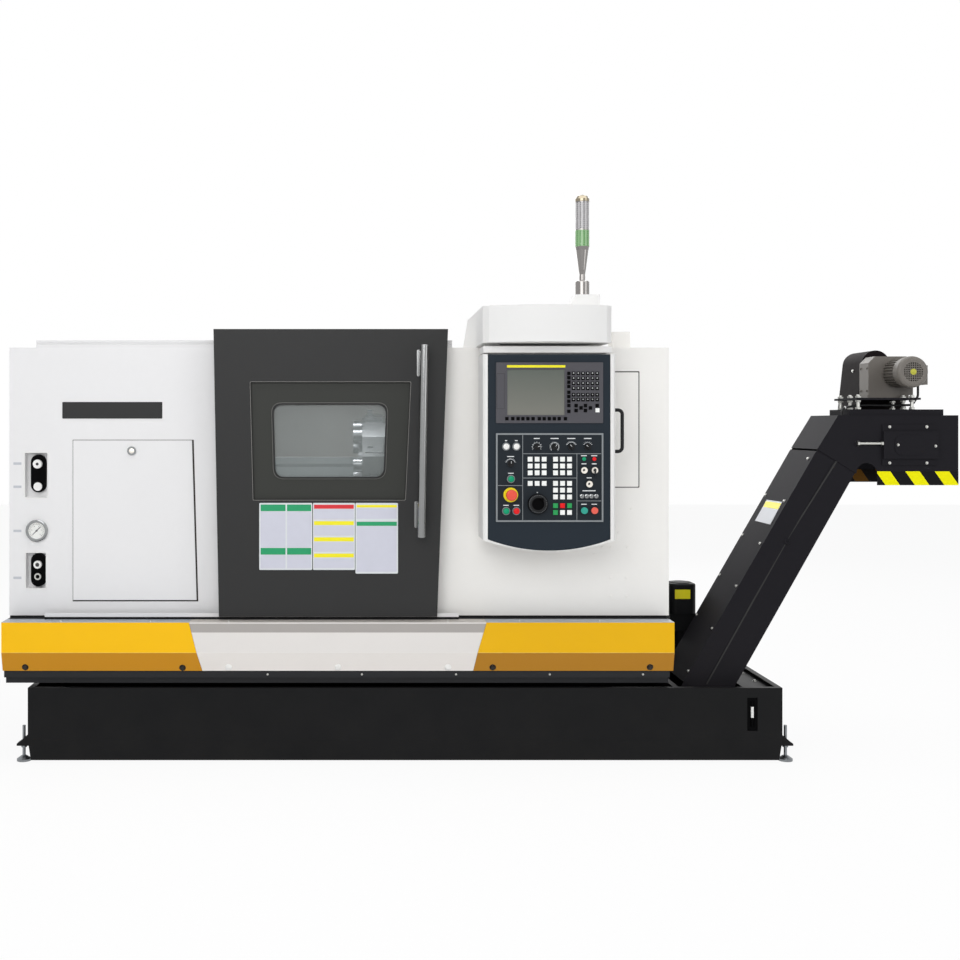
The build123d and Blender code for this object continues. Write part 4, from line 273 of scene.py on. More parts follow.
def paint(name, code, roughness=0.38, peel=0.05, grain=900.0, drift=0.03, dust=0.0, shine=0.5):
    """Sprayed paint: a skin of orange peel, a drifting tone, and dust near the floor when asked."""
    finish = Finish(name, code, roughness, Specular_IOR_Level=shine)
    broad = finish.noise(2.2, 2.0)
    fine = finish.noise(38.0, 3.0)
    factor = 1.0 - drift + broad * drift * 1.4 + fine * drift * 0.6
    tinted = finish.tone(factor)
    if dust:
        height = finish.axes()[2]
        low = (1.0 - height * 1.6).clamped() * finish.noise(9.0, 5.0) * dust
        tinted = finish.mix(low, tinted, colour("8C857C"))
        finish.drive("Roughness", (roughness + low * 0.6).clamped())
    else:
        finish.drive("Roughness", (roughness - 0.05 + fine * 0.1).clamped())
    finish.drive("Base Color", tinted)
    finish.bump(finish.noise(grain, 2.0), peel, 0.0006)
    return finish


white_left = paint("left cabinet paint", "EEEDED", 0.46, shine=0.2)
white_right = paint("right cabinet paint", "F5F3EF", 0.46, shine=0.2)
white_panel = paint("canopy paint", "EFEEEC", 0.5, shine=0.12)
grey_liner = paint("chamber paint", "74716E", 0.5, drift=0.06, shine=0.15)
LEDGE_FOOT, LEDGE_TOP, LINER_ROOF = 0.9, 1.1440, 1.55
liner_height = grey_liner.axes()[2]
liner_tone = grey_liner.tone(0.95 + grey_liner.noise(4.0, 3.0) * 0.1)
on_ledge = (liner_height < LEDGE_TOP) * (liner_height > LEDGE_FOOT)
liner_tone = grey_liner.mix(on_ledge, liner_tone, colour("B9B8BA"))
under_roof = liner_height > LINER_ROOF
grey_liner.drive("Base Color", grey_liner.mix(under_roof, liner_tone, colour("C4C3C1")))
door_grey = paint("door paint", "333333", 0.45, peel=0.08, grain=1300, shine=0.15)
recess_grey = paint("window recess paint", "383936", 0.45, peel=0.08, grain=1300, shine=0.15)


RAIL_FOOT_TOP = 0.5513
FOLD = 0.4262
FOLD_LINE_WIDTH = 0.0016
BEND_FOOT, BEND_TOP = 0.5034, 0.5372
SILL_TOP = 0.5412
CABINET_EDGE = -0.589


def rail_paint():
    """The rails have the cabinet's white, the foot of the lower one is black."""
    finish = paint("door rail paint", "0E0E11", 0.5, shine=0.15)
    foot = finish.tone(0.97 + finish.noise(20.0, 2.0) * 0.06)
    high = finish.axes()[2] > RAIL_FOOT_TOP
    finish.drive("Base Color", finish.mix(high, foot, colour("E9E8E8")))
    return finish


def folded_paint(name, upper, lower, edge, bend, ledge):
    """Sill paint: full colour above the fold, deeper below it, and a paler line along the fold.

    The bend under the top edge can be darker, and the top face is black along the cabinet.
    """
    finish = paint(name, upper, 0.34, shine=0.25)
    _, depth, height = finish.axes()
    along_bend = (height > BEND_FOOT) * (height < BEND_TOP)
    top = height > SILL_TOP
    # A paler line of the same paint runs along the fold.
    paler_along_fold = (1.0 - ((height - FOLD) / FOLD_LINE_WIDTH).size()).clamped() * finish.noise(30.0, 4.0)
    body = finish.tone(0.98 + finish.noise(3.0, 3.0) * 0.04)
    tinted = finish.mix(height < FOLD, body, colour(lower))
    tinted = finish.mix(paler_along_fold, tinted, colour(edge))
    tinted = finish.mix(along_bend, tinted, colour(bend))
    tinted = finish.mix(top, tinted, colour(ledge))
    by_cabinet = top * (depth > CABINET_EDGE)
    finish.drive("Base Color", finish.mix(by_cabinet, tinted, colour("0E0E11")))
    return finish


yellow = folded_paint("left sill paint", "FFC400", "C98A10", "FFE08A", "FFC400", "A9AFB6")
yellow_right = folded_paint("right sill paint", "F0B800", "B57D1C", "FFE08A", "F0B800", "A9AFB6")
door_rail_paint = rail_paint()
silver_sill = folded_paint("light sill paint", "E8E4E0", "ECE7E2", "F4F2EF", "AFAAA6", "C9C3BC")
rail_black = paint("rail paint", "1D1E21", 0.45, shine=0.25)
tank_black = paint("tank paint", "0F1012", 0.45, peel=0.07, dust=0.03, shine=0.12)
conveyor_black = paint("conveyor paint", "1D1C20", 0.6, peel=0.16, grain=700, dust=0.03, shine=0.08)
motor_grey = paint("motor paint", "6A655F", 0.45, peel=0.12, grain=500, drift=0.08)
pump_grey = paint("pump paint", "111214", 0.5, peel=0.10, shine=0.12)
guard_paint = paint("chain guard paint", "191415", 0.6, peel=0.12, grain=700, shine=0.06)
fascia_grey = paint("fascia texture", "232B33", 0.6, peel=0.22, grain=1600, shine=0.15)
plate_grey = paint("operator plate", "1F252B", 0.55, peel=0.15, grain=1600, shine=0.15)
display_grey = paint("display housing", "525156", 0.5, peel=0.15, grain=1500, shine=0.2)
print("paints:", len(bpy.data.materials))

# %% [markdown]
# Bare metal shows how it was worked. Ground and brushed steel has fine lines along the
# direction of work, castings have a sandy skin, and polished parts only soften the
# reflection here and there.

# %% Metals, rubber, plastic and glass


def brushed(name, code, roughness, along, strength=0.12):
    """Ground metal, with fine lines along one axis."""
    finish = Finish(name, code, roughness, 1.0)
    spread = {"x": (6, 420, 420), "y": (420, 6, 420), "z": (420, 420, 6)}[along]
    lines = finish.noise(1.0, 4.0, place=finish.stretched(*spread))
    blotch = finish.noise(14.0, 3.0)
    finish.drive("Roughness", (roughness - 0.1 + lines * 0.16 + blotch * 0.06).clamped())
    finish.drive("Base Color", finish.tone(0.9 + lines * 0.14 + blotch * 0.06))
    finish.bump(lines, strength, 0.0004)
    return finish


def cast(name, code, roughness=0.6):
    """Cast and painted metal, with a sandy skin and small pits."""
    finish = Finish(name, code, roughness, 0.15)
    sand = finish.noise(420.0, 4.0)
    pits = finish.cells(160.0)
    finish.drive("Base Color", finish.tone(0.9 + finish.noise(7.0, 3.0) * 0.2))
    finish.drive("Roughness", (roughness - 0.1 + sand * 0.2).clamped())
    finish.bump(sand + pits * 0.4, 0.25, 0.001)
    return finish


def moulded(name, code, roughness=0.4, grain=1400.0, strength=0.06, **fixed):
    """Moulded plastic, or a printed label: almost even, with a very fine skin."""
    finish = Finish(name, code, roughness, **fixed)
    skin = finish.noise(grain, 2.0)
    finish.drive("Base Color", finish.tone(0.97 + finish.noise(30.0, 2.0) * 0.06))
    finish.drive("Roughness", (roughness - 0.05 + skin * 0.1).clamped())
    finish.bump(skin, strength, 0.0004)
    return finish


steel_x = brushed("ground steel along the machine", "B9BBBD", 0.28, "x")
steel_y = brushed("ground steel across the machine", "84878A", 0.34, "y")
handle_steel = brushed("polished handle tube", "8E8F8F", 0.16, "z", 0.05)
bright_nickel = brushed("nickel lock faces", "E6E1D8", 0.4, "y", 0.03)
zinc = brushed("zinc plated screws", "BDBDB9", 0.34, "y", 0.05)
dark_screw = brushed("blackened screws", "3A3835", 0.38, "y", 0.05)
chrome = brushed("chrome bezel", "97999A", 0.14, "y", 0.02)
casting = cast("machine casting", "6F7779")
casting_grey = cast("turret casting", "8B9193", 0.45)
black_plastic = moulded("black plastic", "060607", 0.5, Specular_IOR_Level=0.03)
soft_black = moulded("soft black grip", "0D0E10", 0.5, 700, 0.12, Specular_IOR_Level=0.25)
white_plastic = moulded("white plastic", "F2F1EE", 0.3)
key_white = moulded("white key caps", "FAFBF8", 0.4)
green_plastic = moulded("green button", "009A6C", 0.4, Specular_IOR_Level=0.25)
key_green = moulded("green key caps", "139A4E", 0.35)
teal_plastic = moulded("cycle start button", "26A08D", 0.3)
red_plastic = moulded("red button", "E8181D", 0.35, Specular_IOR_Level=0.25)
salmon_plastic = moulded("feed hold button", "E9604F", 0.3)
stop_red = moulded("emergency stop head", "E8503C", 0.28)
stop_yellow = moulded("emergency stop collar", "F6E20A", 0.35)
bar_yellow = moulded("yellow bar", "F4EA10", 0.35)
tag_grey = moulded("blank label", "C4C6CC", 0.4, 300)
label_green = moulded("green label field", "0A9A62", 0.4, 300)
label_red = moulded("red label field", "D8232C", 0.4, 300)
label_yellow = moulded("yellow label field", "F7EC12", 0.4, 300)
label_pale = moulded("pale label field", "CFD0DC", 0.42, 300)
label_edge = moulded("label backing", "DCE0E2", 0.42, 300)
line_white = moulded("printed line", "EEF1F2", 0.5, 300)
frame_grey = moulded("plate frame", "83888B", 0.45)
# A dark paint that stands for painted shadow in the gaps round covers.
shadow_gap_dark = moulded("shadow gap", "3A3633", 0.7, 300, Specular_IOR_Level=0.1)
# Pale rings on sheet edges are a painted highlight, where a bevel catches light.
highlight_lip_grey = moulded("painted highlight on sheet edge", "8F8D88", 0.4, 300)
# Black rubber for the window seal; the same black also stands for painted shadow in the flank groove and
# round the card door.
rubber_and_shadow_black = moulded("black rubber seal and painted shadow", "141414", 0.65, 500, 0.15)
dial_white = moulded("dial card", "F2F2EE", 0.45, 300)
needle_black = moulded("needle", "222222", 0.45, 300)
cable_skin = moulded("cable sheath", "1A1A1B", 0.55, 300, 0.1)
hub_yellow = moulded("fan hub", "B7B53A", 0.5, 300)

screen_glass = Finish("screen", "6F746C", 0.18, Coat_Weight=0.6, Coat_Roughness=0.06)
SCREEN_FOOT, SCREEN_HEIGHT = 1.329, 0.169
fade = ((screen_glass.axes()[2] - SCREEN_FOOT) / SCREEN_HEIGHT).clamped()
screen_glass.drive("Base Color", screen_glass.mix(fade, colour("727269"), colour("50574F")))
screen_glass.bump(screen_glass.noise(2500.0, 1.0), 0.02, 0.0002)

glass = Finish("window glass", "DDE6E4", 0.04, IOR=1.45)
smear = glass.noise(6.0, 4.0)
glass.drive("Roughness", 0.03 + smear * 0.05)
glass.drive("Alpha", 0.10 + smear * 0.06)
print("finishes so far:", len(bpy.data.materials))

# %% [markdown]
# The hazard stripes under the conveyor head are a painted band, darkened on the rear wall by
# painted shade. Their slant and pitch are worked out from the object's own coordinates, so the
# pattern stays put when the machine is turned.

# %% Hazard stripes
stripes = Finish("hazard stripes", "F1EC0E", 0.5, Specular_IOR_Level=0.12)
STRIPE_PITCH, STRIPE_LEAN, STRIPE_START = 0.115, 0.7, 0.008
REAR_WALL = -0.4
sx, sy, sz = stripes.axes()
stripe_phase = ((sx - STRIPE_START + sz * STRIPE_LEAN) / STRIPE_PITCH).wrap()
stripe_mask = stripe_phase > 0.49
scuffed = stripes.noise(60.0, 4.0) * 0.08
# On the rear wall the stripes are painted brown and near black, as painted shade under the head.
rear_in_painted_shade = sy > REAR_WALL
stripe_yellow = stripes.mix(rear_in_painted_shade, colour("F6F000"), colour("6A4712"))
stripe_black = stripes.mix(rear_in_painted_shade, colour("060607"), colour("120E0C"))
stripes.drive("Base Color", stripes.mix(stripe_mask, stripe_yellow, stripe_black))
stripes.drive("Roughness", 0.36 + scuffed)
stripes.bump(stripes.noise(900.0, 2.0), 0.06, 0.0005)
print("stripe pitch in mm:", round(STRIPE_PITCH * 1000))

# %% [markdown]
# The signal lamp is one turned solid in CAD. Its parts meet at known heights, so the finish
# changes with height: chrome foot and stem, a green band, a clear LED body with upright
# lines, and a metal dome.

# %% Signal lamp finish
lamp_finish = Finish("signal lamp", "B9BABA", 0.2)
LAMP_X, LAMP_Y = 0.384, -0.55
GREEN_FOOT, GREEN_TOP = 1.988, 2.051
CLEAR_FOOT, CLEAR_TOP = 2.056, 2.160
DOME_FOOT = 2.164
ROW_FOOT, ROW_PITCH = 1.99, 0.0075
COLUMNS_PER_RADIAN = 1.91
lx, ly, lz = lamp_finish.axes()
around = {0: ly - LAMP_Y, 1: lx - LAMP_X}
angle = lamp_finish.add("ShaderNodeMath", {"operation": "ARCTAN2"}, around)
in_column = (angle * COLUMNS_PER_RADIAN).wrap() < 0.30
in_row = ((lz - ROW_FOOT) / ROW_PITCH).wrap() < 0.62
led_rows = in_column * in_row
in_green = (lz > GREEN_FOOT) * (lz < GREEN_TOP)
in_clear = (lz > CLEAR_FOOT) * (lz < CLEAR_TOP)
metal = ((1.0 - in_green) * (1.0 - in_clear)).clamped()
lamp_colour = lamp_finish.mix(in_green, colour("8B8886"), colour("86B07C"))
lamp_colour = lamp_finish.mix(in_clear, lamp_colour, colour("B9B7B8"))
lamp_colour = lamp_finish.mix(in_clear * led_rows, lamp_colour, colour("4A4749"))
lamp_colour = lamp_finish.mix(in_green * led_rows, lamp_colour, colour("2F7A2B"))
lamp_colour = lamp_finish.mix(lz > DOME_FOOT, lamp_colour, colour("8E8573"))
lamp_finish.drive("Base Color", lamp_colour)
lamp_finish.drive("Metallic", metal * 0.95)
lamp_finish.drive("Roughness", 0.16 + in_clear * 0.06)
print("lamp bands:", (GREEN_FOOT, GREEN_TOP), (CLEAR_FOOT, CLEAR_TOP))

# %% [markdown]
# Every CAD node now gets its finish. The nodes are listed under the paint that they share,
# so a change of paint is made in one place. The CAD shapes themselves are left alone.

# %% Dress the CAD nodes
clothes = {
    white_left: ["left_cabinet", "access_cover"],
    white_right: ["right_cabinet", "electrical_cabinet", "electrical_door"],
    white_panel: ["canopy", "panel_shell"],
    grey_liner: ["chamber_liner"],
    casting: ["bed_casting", "headstock", "tailstock", "saddle"],
    casting_grey: ["cross_slide"],
    steel_x: ["spindle", "chuck_body", "chuck_jaw_1", "chuck_jaw_2", "chuck_jaw_3", "quill"],
    steel_y: ["turret_disc", "conveyor_shaft", "levelling_feet"],
    door_grey: ["door_panel"],
    door_rail_paint: ["door_rails"],
    guard_paint: ["chain_guard"],
    glass: ["door_glass"],
    handle_steel: ["door_handle"],
    yellow: ["sill_left"],
    yellow_right: ["sill_right"],
    silver_sill: ["sill_centre"],
    rail_black: ["under_rail"],
    tank_black: ["coolant_tank"],
    black_plastic: ["sight_gauge", "valve_blocks", "handwheel"],
    pump_grey: ["coolant_pump"],
    conveyor_black: ["conveyor_housing", "conveyor_cover", "conveyor_head", "conveyor_brackets"],
    motor_grey: ["gear_motor", "spindle_motor"],
    cable_skin: ["motor_cables"],
    lamp_finish: ["signal_lamp"],
    fascia_grey: ["panel_fascia"],
    display_grey: ["display_unit"],
    plate_grey: ["operator_plate"],
    soft_black: ["panel_handle"] + [f"selector_knob_{i}" for i in range(1, 6)],
    chrome: ["cam_lock", "pressure_gauge"],
    white_plastic: ["regulator_knob_upper", "regulator_knob_lower"],
    stop_red: ["emergency_stop"],
    teal_plastic: ["cycle_start_button"],
    salmon_plastic: ["feed_hold_button"],
}
for finish, names in clothes.items():
    for name in names:
        wear(name, finish)
undressed = set(nodes) - {n for names in clothes.values() for n in names}
print("nodes without a finish:", sorted(undressed))

# %% [markdown]
# Most details on the fronts are thin plates and turned caps. A plate is an outline pushed
# forward by its thickness, with its front edge bevelled, and a cap is a profile turned
# round its axis. Both come as closed meshes whose faces look outwards.

# %% Plates and turned parts
made = []


def settle(mesh, name, finish, body="machine"):
    """Makes the object of a mesh, gives it its finish and its body."""
    piece = bpy.data.objects.new(name, mesh)
    scene.collection.objects.link(piece)
    wear(piece, finish)
    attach(piece, body)
    made.append(name)
    return piece


def keep(bm, name, finish, body):
    """Turns the faces of a built form outwards and settles it as a piece."""
    bmesh.ops.recalc_face_normals(bm, faces=bm.faces)
    mesh = bpy.data.meshes.new(name)
    bm.to_mesh(mesh)
    bm.free()
    return settle(mesh, name, finish, body)


def box_outline(x0, x1, z0, z1, corner=0.0, steps=5):
    """Corner points of a rectangle, its corners rounded when asked."""
    if corner <= 0:
        return [(x0, z0), (x1, z0), (x1, z1), (x0, z1)]
    points = []
    turns = ((x1 - corner, z0 + corner, 270), (x1 - corner, z1 - corner, 0))
    turns += ((x0 + corner, z1 - corner, 90), (x0 + corner, z0 + corner, 180))
    for cx, cz, start in turns:
        for i in range(steps + 1):
            a = math.radians(start + 90 * i / steps)
            points.append((cx + corner * math.cos(a), cz + corner * math.sin(a)))
    return points


def picture_box(left, top, right, bottom, behind=0.0, corner=0.0):
    """A rectangle given by two of its corners in the picture."""
    x0, z1 = seen(left, top, behind)
    x1, z0 = seen(right, bottom, behind)
    return box_outline(x0, x1, z0, z1, corner)


def round_outline(x, z, radius, count=40, start=0.0, sweep=360.0):
    """Points on a circle, or on a part of one."""
    steps = count if sweep >= 360 else count + 1
    turn = [math.radians(start + sweep * i / count) for i in range(steps)]
    return [(x + radius * math.cos(a), z + radius * math.sin(a)) for a in turn]


def prism(bm, rear, face):
    """Closes the form between two outlines of as many corners, and gives back its front."""
    bm.faces.new(rear)
    lid = bm.faces.new(face[::-1])
    for i in range(len(rear)):
        j = (i + 1) % len(rear)
        bm.faces.new((rear[i], face[i], face[j], rear[j]))
    return lid


def plates(name, outlines, back, front, finish, body="machine", slot="polished_steel", edge=0.0003):
    """One mesh of flat plates that stand between two depths, the front edge bevelled."""
    bm = bmesh.new()
    for outline in outlines:
        rear = [bm.verts.new((x, back, z)) for x, z in outline]
        face = [bm.verts.new((x, front, z)) for x, z in outline]
        lid = prism(bm, rear, face)
        if edge:
            bmesh.ops.bevel(bm, geom=list(lid.edges), offset=edge, segments=2, affect="EDGES")
    keep(bm, name, finish, body)


def rings(name, pairs, back, front, finish, body="machine", slot="polished_steel"):
    """Frames between an outer and an inner outline of as many points."""
    bm = bmesh.new()
    for outer, inner in pairs:
        loops = []
        for outline, depth in ((outer, back), (outer, front), (inner, front), (inner, back)):
            loops.append([bm.verts.new((x, depth, z)) for x, z in outline])
        for k in range(4):
            a, b = loops[k], loops[(k + 1) % 4]
            for i in range(len(a)):
                j = (i + 1) % len(a)
                bm.faces.new((a[i], b[i], b[j], a[j]))
    keep(bm, name, finish, body)


def turned(name, places, profile, finish, body="machine", sides=32, aim=(0, -1, 0)):
    """Closed turned solids along an aim: the profile lists radius and distance.

    A profile that ends where it starts makes a ring, and its last loop is its first one.
    """
    bm = bmesh.new()
    lean = Vector((0, 0, 1)).rotation_difference(Vector(aim)).to_matrix().to_4x4()
    closed = profile[0] == profile[-1]
    for place in places:
        move = Matrix.Translation(place) @ lean
        loops = []
        for radius, along in profile[:-1] if closed else profile:
            if radius <= 0:
                loops.append([bm.verts.new(move @ Vector((0, 0, along)))])
                continue
            turns = [2 * math.pi * i / sides for i in range(sides)]
            spots = [Vector((radius * math.cos(a), radius * math.sin(a), along)) for a in turns]
            loops.append([bm.verts.new(move @ spot) for spot in spots])
        if closed:
            loops.append(loops[0])
        for a, b in zip(loops, loops[1:]):
            for i in range(sides):
                j = (i + 1) % sides
                corners = [a[i % len(a)], a[j % len(a)], b[j % len(b)], b[i % len(b)]]
                bm.faces.new(list(dict.fromkeys(corners)))
    mesh = keep(bm, name, finish, body).data
    for face in mesh.polygons:
        face.use_smooth = True
    mesh.set_sharp_from_angle(angle=math.radians(35))


def disc(radius, foot, top):
    """The profile of a plain round disc or rod."""
    return [(0, foot), (radius, foot), (radius, top), (0, top)]


def nut(radius, height):
    """The profile of a nut or a bolt head with both ends chamfered."""
    rim = radius - 0.0011
    return [(0, 0), (rim, 0), (radius, 0.001), (radius, height - 0.001), (rim, height), (0, height)]


print("ready for plates and turned parts; pieces so far:", len(made))

# %% [markdown]
# Screw heads are the same form over and over, only on other planes and at other sizes, so
# a node tree grows them on loose points. Each point carries the direction that its screw
# faces. They could be copied by hand, but a tree keeps one form for all of them. The result
# is made one plain mesh for each group and body.

# %% Screw heads from a node tree


def new_tree(name, sizes):
    """An empty tree and its inputs: each named size has its usual value."""
    tree = bpy.data.node_groups.new(name, "GeometryNodeTree")
    tree.interface.new_socket("Geometry", in_out="INPUT", socket_type="NodeSocketGeometry")
    for label, value in sizes.items():
        kind = "NodeSocketInt" if isinstance(value, int) else "NodeSocketFloat"
        tree.interface.new_socket(label, in_out="INPUT", socket_type=kind).default_value = value
    tree.interface.new_socket("Material", in_out="INPUT", socket_type="NodeSocketMaterial")
    tree.interface.new_socket("Geometry", in_out="OUTPUT", socket_type="NodeSocketGeometry")
    return tree, put(tree, "NodeGroupInput").outputs


def close_tree(tree, given, last):
    """Every tree ends in plain geometry with its material."""
    plain = put(tree, "GeometryNodeRealizeInstances", {0: last})
    dress = {"Geometry": plain.outputs[0], "Material": given["Material"]}
    put(tree, "NodeGroupOutput", {0: put(tree, "GeometryNodeSetMaterial", dress).outputs[0]})


def tree_math(tree, operation, first, second):
    """One step of arithmetic in a tree, on numbers or sockets."""
    return put(tree, "ShaderNodeMath", {0: first, 1: second}, operation=operation).outputs[0]


screw_tree, given = new_tree(
    "Screw heads on points",
    {"Head Radius": 0.005, "Head Height": 0.003, "Crown": 0.8, "Sides": 24, "Washer Radius": 0.0065},
)
head = put(
    screw_tree,
    "GeometryNodeMeshCone",
    {
        "Vertices": given["Sides"],
        "Radius Bottom": given["Head Radius"],
        "Radius Top": tree_math(screw_tree, "MULTIPLY", given["Head Radius"], given["Crown"]),
        "Depth": given["Head Height"],
    },
)
washer_sizes = {"Vertices": 24, "Depth": 0.0012, "Radius": given["Washer Radius"]}
washer = put(screw_tree, "GeometryNodeMeshCylinder", washer_sizes)
screw = put(screw_tree, "GeometryNodeJoinGeometry", {0: head.outputs[0]})
screw_tree.links.new(washer.outputs[0], screw.inputs[0])
aim_read = put(screw_tree, "GeometryNodeInputNamedAttribute", {"Name": "aim"}, data_type="FLOAT_VECTOR")
aim_turn = put(screw_tree, "FunctionNodeAlignRotationToVector", {"Vector": aim_read.outputs["Attribute"]})
stamp = put(
    screw_tree,
    "GeometryNodeInstanceOnPoints",
    {"Points": given["Geometry"], "Instance": screw.outputs[0], "Rotation": aim_turn.outputs[0]},
)
close_tree(screw_tree, given, stamp.outputs[0])


def grow(name, tree, points, finish, body="machine", slot="polished_steel", **values):
    """Runs a tree on loose points with directions, and keeps the result as a plain mesh."""
    seed = bpy.data.meshes.new(name + "_points")
    seed.from_pydata([place for place, _ in points], [], [])
    aims = seed.attributes.new("aim", "FLOAT_VECTOR", "POINT")
    for i, (_, aim) in enumerate(points):
        aims.data[i].vector = aim
    host = bpy.data.objects.new(name + "_seed", seed)
    scene.collection.objects.link(host)
    modifier = host.modifiers.new("grow", "NODES")
    modifier.node_group = tree
    sockets = {s.name: s.identifier for s in tree.interface.items_tree if s.in_out == "INPUT"}
    modifier[sockets["Material"]] = finish.material
    for key, value in values.items():
        modifier[sockets[key.replace("_", " ")]] = value
    graph = bpy.context.evaluated_depsgraph_get()
    grown = bpy.data.meshes.new_from_object(host.evaluated_get(graph), depsgraph=graph)
    bpy.data.objects.remove(host)
    grown.name = name
    return settle(grown, name, finish, body)


def screws(name, points, finish, radius, height, washer, **more):
    """Screws of one size: the head's radius and height, and the radius of the washer."""
    sizes = {"Head_Radius": radius, "Head_Height": height, "Washer_Radius": washer}
    grow(name, screw_tree, points, finish, **sizes, **more)


print("inputs of the screw tree:", [socket.name for socket in given if socket.name])

# %% [markdown]
# The left cabinet carries a dark name plate, left blank here, small blank labels beside
# its pockets, the gauge's dial and the white knobs with their dark centres. Each is a real
# plate or cap, because a painted one would look flat from the side.

# %% Left cabinet details
name_plate = picture_box(62, 402, 162, 418.6, corner=0.003)
plates("name_plate", [name_plate], FRONT, FRONT - 0.0015, door_grey, slot="door_paint")
tags = [picture_box(13, py - 1.2, 21, py + 1.2, corner=0.001) for py in (463.6, 486.8, 531, 577.9)]
plates("pocket_labels", tags, FRONT, FRONT - 0.0006, tag_grey, slot="white_panels")
rim_pairs = []
for x0, x1, z0, z1 in ((-1.791, -1.703, 1.010, 1.184), (-1.787, -1.709, 0.656, 0.794)):
    outer = box_outline(x0 - 0.005, x1 + 0.005, z0 - 0.005, z1 + 0.005, 0.009)
    rim_pairs.append((outer, box_outline(x0, x1, z0, z1, 0.004)))
rings("pocket_rims", rim_pairs, FRONT, FRONT - 0.0015, white_panel, slot="white_panels")
gauge_x, gauge_z, gauge_y = -1.743, 0.881, FRONT - 0.008
dial = disc(0.0322, -0.0005, 0.0009)
turned("gauge_dial", [(gauge_x, gauge_y, gauge_z)], dial, dial_white)
for body, place, radius in (
    ("regulator_knob_upper", (-1.744, FRONT + 0.003, 1.1405), 0.0055),
    ("regulator_knob_lower", (-1.744, FRONT + 0.005, 0.747), 0.0075),
):
    centre = [(0, -0.001), (radius, -0.001), (radius, 0.0012), (radius * 0.8, 0.0018), (0, 0.0018)]
    turned(body + "_centre", [place], centre, needle_black, body)
port_x, port_y = -1.744, FRONT + 0.010
upper_ring = [(0, -0.009), (0.016, -0.009), (0.0168, -0.002), (0.0162, 0.001)]
upper_ring += [(0.003, 0.001), (0.0026, 0), (0, 0)]
turned("port_upper_ring", [(port_x, port_y, 1.052)], upper_ring, white_plastic)
lower_ring = [(0.0066, -0.009), (0.013, -0.009), (0.0138, -0.002), (0.0132, 0.001)]
lower_ring += [(0.0078, 0.001), (0.0066, -0.009)]
turned("port_lower_ring", [(port_x, port_y, 0.700)], lower_ring, zinc)
print("left cabinet pieces:", len(made))

# %% [markdown]
# The access cover is a leaf with a slanted right edge. A painted shadow runs round it as a dark
# ring where it meets the cabinet, wider at its foot and on the right. The frame gives the leaf's
# own box, so the painted shadow follows the CAD part and not the picture.

# %% Painted shadow gap and lock of the access cover
cover_low, cover_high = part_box("access_cover")
SLANT_TOP = -1.1387
cover_inner = [
    (cover_low[0] - 0.0003, cover_low[2] - 0.0003),
    (cover_high[0] + 0.0003, cover_low[2] - 0.0003),
    (SLANT_TOP, cover_high[2] + 0.0003),
    (cover_low[0] - 0.0003, cover_high[2] + 0.0003),
]
# The outer edge lies wider at the foot and on the right, where the painted shadow falls.
cover_outer = [
    (cover_low[0] - 0.0022, cover_low[2] - 0.0052),
    (cover_high[0] + 0.0066, cover_low[2] - 0.0052),
    (SLANT_TOP + 0.0066, cover_high[2] + 0.0022),
    (cover_low[0] - 0.0022, cover_high[2] + 0.0022),
]
cover_gap = [(cover_outer, cover_inner)]
rings("access_cover_shadow", cover_gap, FRONT, FRONT - 0.0007, shadow_gap_dark, slot="black_plastic")
lock_core = [(0, -0.0006), (0.0100, -0.0006), (0.0100, 0.0002), (0.0086, 0.0009), (0, 0.0009)]
turned("cam_lock_core", [(-1.373, FRONT - 0.0088, 1.192)], lock_core, bright_nickel, "cam_lock")
print("access cover box:", [round(v, 4) for v in (*cover_low, *cover_high)])

# %% [markdown]
# Dials of gauges and selectors have strokes round a part of a circle. A second tree sets
# bars along an arc. Its inputs are the radius, the length and width of a stroke, the
# number of strokes, and where the arc starts and how far it goes.

# %% Strokes round an arc from a node tree
stroke_tree, given = new_tree(
    "Strokes round an arc",
    {"Radius": 0.02, "Length": 0.004, "Width": 0.0006, "Count": 11, "Start": 0.0, "Sweep": 3.14},
)
arc_links = {"Resolution": "Count", "Radius": "Radius", "Start Angle": "Start", "Sweep Angle": "Sweep"}
arc = put(stroke_tree, "GeometryNodeCurveArc", {socket: given[size] for socket, size in arc_links.items()})
arc_points = put(stroke_tree, "GeometryNodeCurveToPoints", {"Curve": arc.outputs[0]}, mode="EVALUATED")
bar_size = put(stroke_tree, "ShaderNodeCombineXYZ", {0: given["Length"], 1: given["Width"], 2: 0.0008})
bar = put(stroke_tree, "GeometryNodeMeshCube", {"Size": bar_size.outputs[0]})
place_read = put(stroke_tree, "GeometryNodeInputPosition")
outwards = {"Vector": place_read.outputs[0]}
radial_turn = put(stroke_tree, "FunctionNodeAlignRotationToVector", outwards, axis="X")
bars = {"Points": arc_points.outputs["Points"], "Instance": bar.outputs[0]}
bars["Rotation"] = radial_turn.outputs[0]
strokes = put(stroke_tree, "GeometryNodeInstanceOnPoints", bars)
close_tree(stroke_tree, given, strokes.outputs[0])
AT_ORIGIN = [((0, 0, 0), (0, 0, 1))]
STAND_UP = Matrix.Rotation(math.radians(90), 4, "X")


def dial_strokes(name, place, finish, radius, length, width, count, start, sweep, **where):
    """Strokes on a front plane, centred on a place, over an arc that is given in degrees."""
    sizes = {"Radius": radius, "Length": length, "Width": width, "Count": count}
    arc_given = {"Start": math.radians(start), "Sweep": math.radians(sweep)}
    piece = grow(name, stroke_tree, AT_ORIGIN, finish, **where, **sizes, **arc_given)
    piece.data.transform(Matrix.Translation(place) @ STAND_UP)


dial_face = (gauge_x, gauge_y - 0.0009, gauge_z)
dial_strokes("gauge_strokes", dial_face, needle_black, 0.0265, 0.0055, 0.0011, 21, -45, 270)
print("inputs of the stroke tree:", [socket.name for socket in given if socket.name])

# %% [markdown]
# The needle is a thin tapered plate on a small hub. It stands in front of the strokes by
# less than a millimetre, so that it casts a fine shadow on the card.

